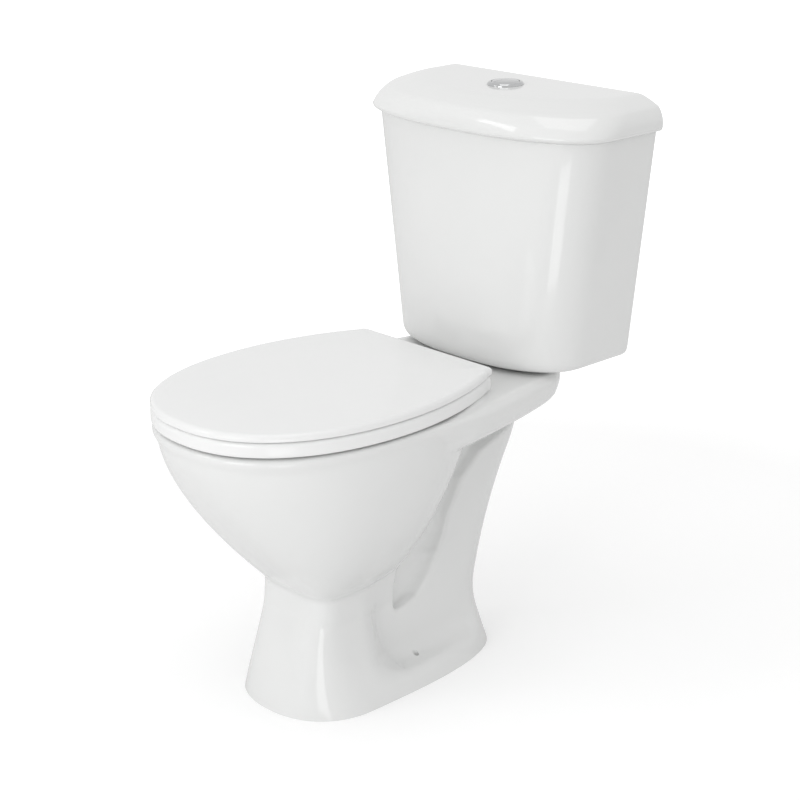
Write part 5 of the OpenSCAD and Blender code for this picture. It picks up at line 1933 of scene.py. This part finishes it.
@dataclass
class Fixings(Assembly):
    """Everything small that comes in rows: bolts, washers, nuts, buffers and push rods."""

    bolt_radius: float = 4.0
    bolt_groove: Tuple[float, float] = (1.25, 0.62)
    bolt_head: Tuple[float, float] = (8.0, 4.0)
    washer_radius: float = 13.0
    seat_nut: float = 329.0
    tank_nut: float = 344.2
    nut_height: float = 10.0
    hub_radius: float = 8.0
    nut_turn: float = 0.7
    tank_bolt_low: float = 334.2
    tank_thread: Tuple[float, float] = (336.0, 402.0)
    rubber_radius: float = 12.0
    ring_pads: Tuple[Tuple[float, float], ...] = ((154.5, 427.0), (92.5, 587.5))
    rod_low: float = 631.0
    rod_top: float = 772.3
    rod_groove: Tuple[float, float] = (1.5, 0.55)
    rod_head: Tuple[float, float] = (4.0, 4.0)

    def washer(self, low: float, thickness: float, radius: float, edge: float) -> Solid:
        """A washer round the bolt, with eased edges.

        Args:
            low: height of its underside.
            thickness: its thickness.
            radius: its outer radius.
            edge: the size of its eased edges.

        Returns:
            Points and faces about the upright axis.
        """
        bore, high = self.bolt_radius, low + thickness
        corners = [(bore, low, edge), (radius, low, edge), (radius, high, edge), (bore, high, edge)]
        return turned(rounded(corners, 4), 56)

    def wing_nut(self, low: float) -> Solid:
        """A wing nut: a tapered hub and two leaf-shaped wings that stand below it.

        Args:
            low: height of the hub's lower face.

        Returns:
            Points and faces about the upright axis.
        """
        high, r, bore = low + self.nut_height, self.hub_radius, self.bolt_radius
        corners = [(bore, low, 0.5), (r - 1.2, low, 0.7), (r, high, 0.8), (bore, high, 0.4)]
        points, faces = turned(rounded(corners, 4), 48)
        nut = new_object("nut", (points * MM, faces))
        corners = [(6, low, 0.1), (8.5, low - 3, 1.6), (16, low - 2.4, 3.2)]
        corners += [(14.2, low + 8.6, 3.2), (6, low + 8, 0.1)]
        leaf = np.array(rounded(corners, 6))
        middle = leaf.mean(axis=0)
        for side in (1.0, -1.0):
            rings: Rings = []
            for y, share in ((-1.5, 0.9), (-1.1, 1.0), (1.1, 1.0), (1.5, 0.9)):
                edge = middle + (leaf - middle) * share
                rings.append(np.column_stack([side * edge[:, 0], np.full(len(edge), y), edge[:, 1]]))
            points, faces = skin(capped(rings, 3))
            combine(nut, new_object("wing", (points * MM, faces)), "UNION")
        points = np.array([v.co for v in nut.data.vertices], float) / MM
        faces = [tuple(p.vertices) for p in nut.data.polygons]
        bpy.data.objects.remove(nut)
        return points, faces

    def build(self) -> None:
        """Sets every row out."""
        rows = RowSetter()

        def row(
            name: str,
            piece: Solid,
            places: Sequence[Tuple[float, float]],
            slot: Slot,
            thread: Thread = Thread(),
            turn: float = 0.0,
            body: str = "root",
        ) -> None:
            """Sets one row out and hands it in; the arguments are those of lay() and hand_in()."""
            self.hand_in(rows.lay(name, piece, places, self.finishes[slot], thread, turn), slot, body, name)

        radius, wide, turn = self.bolt_radius, self.washer_radius, self.nut_turn
        seat, tank = pair(HINGE_X, HINGE_D), pair(COUPLING_X, INLET_D)
        thread = Thread(*self.bolt_groove, RIM - 80.0, RIM - 10.0)
        row("seat_bolts", shank(radius, RIM - 82, RIM + 8, thread), seat, Slot.STEEL, thread)
        row("seat_washers", self.washer(self.seat_nut + self.nut_height, 3, wide, 0.6), seat, Slot.PLASTIC)
        row("seat_wing_nuts", self.wing_nut(self.seat_nut), seat, Slot.PLASTIC, turn=turn)
        thread = Thread(*self.bolt_groove, *self.tank_thread)
        bolt = shank(radius, self.tank_bolt_low, TANK_FLOOR + 5, thread, self.bolt_head)
        row("coupling_bolts", bolt, tank, Slot.STEEL, thread)
        row("coupling_rubbers", self.washer(TANK_FLOOR, 5, self.rubber_radius, 1.0), tank, Slot.RUBBER)
        row("coupling_washers", self.washer(self.tank_nut + self.nut_height, 2, wide, 0.3), tank, Slot.STEEL)
        row("coupling_wing_nuts", self.wing_nut(self.tank_nut), tank, Slot.STEEL, turn=turn)
        places = pair(*self.ring_pads[0]) + pair(*self.ring_pads[1])
        pads = (("ring", 7.0, RIM + 0.3, SEAT_BASE), ("lid", 5.0, SEAT_TOP + 0.3, SEAT_TOP + 6.8))
        for body, r, low, high in pads:
            corners = [(0, low, 0), (r - 1.4, low, 0.6), (r, low + 1.4, 0.7), (r, high, 0), (0, high, 0)]
            row(f"{body}_buffers", turned(rounded(corners, 5), 48), places, Slot.BUFFER, body=body)
        thread = Thread(*self.rod_groove, self.rod_low + 6, self.rod_low + 90)
        rod = shank(ROD_RADIUS, self.rod_low, self.rod_top - self.rod_head[1], thread, self.rod_head)
        for place, share in zip(pair(ROD_X, BUTTON_D), ("half", "full")):
            row(f"{share}_flush_rod", rod, (place,), Slot.PLASTIC, thread, body=f"{share}_button")


# ---------- the studio ----------


@dataclass
class Studio:
    """Camera, lamps, floor and surroundings."""

    azimuth: float = 46.67
    pitch: float = 19.06
    roll: float = -0.72
    lens: float = 85.86
    place: Tuple[float, float, float] = (1.80523, -1.65062, 1.22591)
    shift: Tuple[float, float] = (-0.0545, -0.0157)
    floor_reach: float = 14.0
    glow: float = 0.78
    gloss_lift: float = 0.1
    lamps: Tuple[Tuple[Any, ...], ...] = (
        ("key", (-1.3, -2.6, 2.1), (0.0, 0.0, 0.45), 1.0, 7.0),
        ("front", (0.6, -3.0, 1.2), (0.0, 0.0, 0.4), 1.5, 17.0),
        ("top", (0.2, -0.3, 3.2), (0.0, 0.0, 0.4), 1.6, 8.0),
        ("low", (0.75, -0.85, 0.1), (0.05, -0.08, 0.1), 0.35, 0.6),
    )

    def build(self) -> None:
        """Sets up everything round the object."""
        self.camera()
        self.floor()
        self.world()
        for lamp in self.lamps:
            self.lamp(*lamp)
        bpy.context.scene.view_settings.view_transform = "Standard"

    def camera(self) -> None:
        """Sets the camera where it looks down on the front right."""
        a, p, r = (math.radians(v) for v in (self.azimuth, self.pitch, self.roll))
        ahead = Vector((-math.sin(a) * math.cos(p), math.cos(a) * math.cos(p), -math.sin(p)))
        right = Vector((math.cos(a), math.sin(a), 0.0))
        up = right.cross(ahead)
        across = right * math.cos(r) + up * math.sin(r)
        rise = -right * math.sin(r) + up * math.cos(r)
        data = bpy.data.cameras.new("camera")
        data.lens = self.lens
        data.shift_x, data.shift_y = self.shift
        data.clip_end = 50.0
        view = bpy.data.objects.new("camera", data)
        turn = Matrix((across, rise, -ahead)).transposed()
        view.matrix_world = Matrix.Translation(Vector(self.place)) @ turn.to_4x4()
        bpy.context.scene.collection.objects.link(view)
        bpy.context.scene.camera = view

    def lamp(self, name: str, place: Sequence[float], aim: Sequence[float], size: float, power: float) -> None:
        """Hangs a square softbox.

        Args:
            name: its name.
            place: where it hangs.
            aim: the point that it faces.
            size: its side.
            power: its power in watts.
        """
        data = bpy.data.lights.new(name, "AREA")
        data.shape, data.size, data.energy = "SQUARE", size, power
        lamp = bpy.data.objects.new(name, data)
        lamp.location = place
        lamp.visible_camera = False
        lamp.rotation_euler = (Vector(aim) - Vector(place)).to_track_quat("-Z", "Y").to_euler()
        bpy.context.scene.collection.objects.link(lamp)

    def floor(self) -> None:
        """Lays the floor, which is no part of the object."""
        points = np.array([(-1, -1, 0), (1, -1, 0), (1, 1, 0), (-1, 1, 0)]) * self.floor_reach
        floor = new_object("floor", (points, [(0, 1, 2, 3)]))
        floor.data.materials.append(FloorPaint("floor_paint", Slot.CHINA, (0.86, 0.86, 0.86), 0.9).build())
        floor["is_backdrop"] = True

    def world(self) -> None:
        """Makes the surroundings: dim for lighting, white wherever they are seen."""
        world = bpy.data.worlds.new("studio")
        bpy.context.scene.world = world
        world.use_nodes = True
        tree = world.node_tree
        tree.nodes.clear()
        rays = ("Is Camera Ray", "Is Glossy Ray", "Is Transmission Ray")
        seen, sharp, through = (wire(tree, "ShaderNodeLightPath", {}, {}, ray) for ray in rays)
        strength = (seen + through).clamp() * (1.0 - self.glow) + sharp * self.gloss_lift + self.glow
        back = wire(tree, "ShaderNodeBackground", {}, {"Color": WHITE, "Strength": strength})
        back.feed(tree.nodes.new("ShaderNodeOutputWorld").inputs["Surface"])


def corners() -> List[List[float]]:
    """The object's lowest and highest corners as plain lists."""
    return [list(corner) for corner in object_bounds()]


def dress_rest(frame: Dict[str, Any], finishes: Finishes) -> None:
    """Gives every construction node that still shows the finish of its slot.

    Args:
        frame: the loaded frame.
        finishes: every finish.
    """
    slots = {part["node"]: Slot(part["material_slot"]) for part in frame["record"]["subparts"]}
    for name, node in frame["nodes"].items():
        if node.hide_render:
            continue
        if not node.material_slots:
            node.data.materials.append(finishes[slots[name]])
        for place in node.material_slots:
            place.material = finishes[slots[name]]
        LOG.info("%s: kept, in %s", name, slots[name].value)


def main() -> None:
    """Builds the toilet, piece by piece, and the studio round it."""
    logging.basicConfig(level=logging.INFO, format="%(name)s: %(message)s")
    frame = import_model()
    Studio().build()
    finishes = Finishes()
    for part in (Pan, Cistern, Seat, Buttons, Fixings):
        part(finishes).build()
    dress_rest(frame, finishes)


if __name__ == "__main__":
    main()
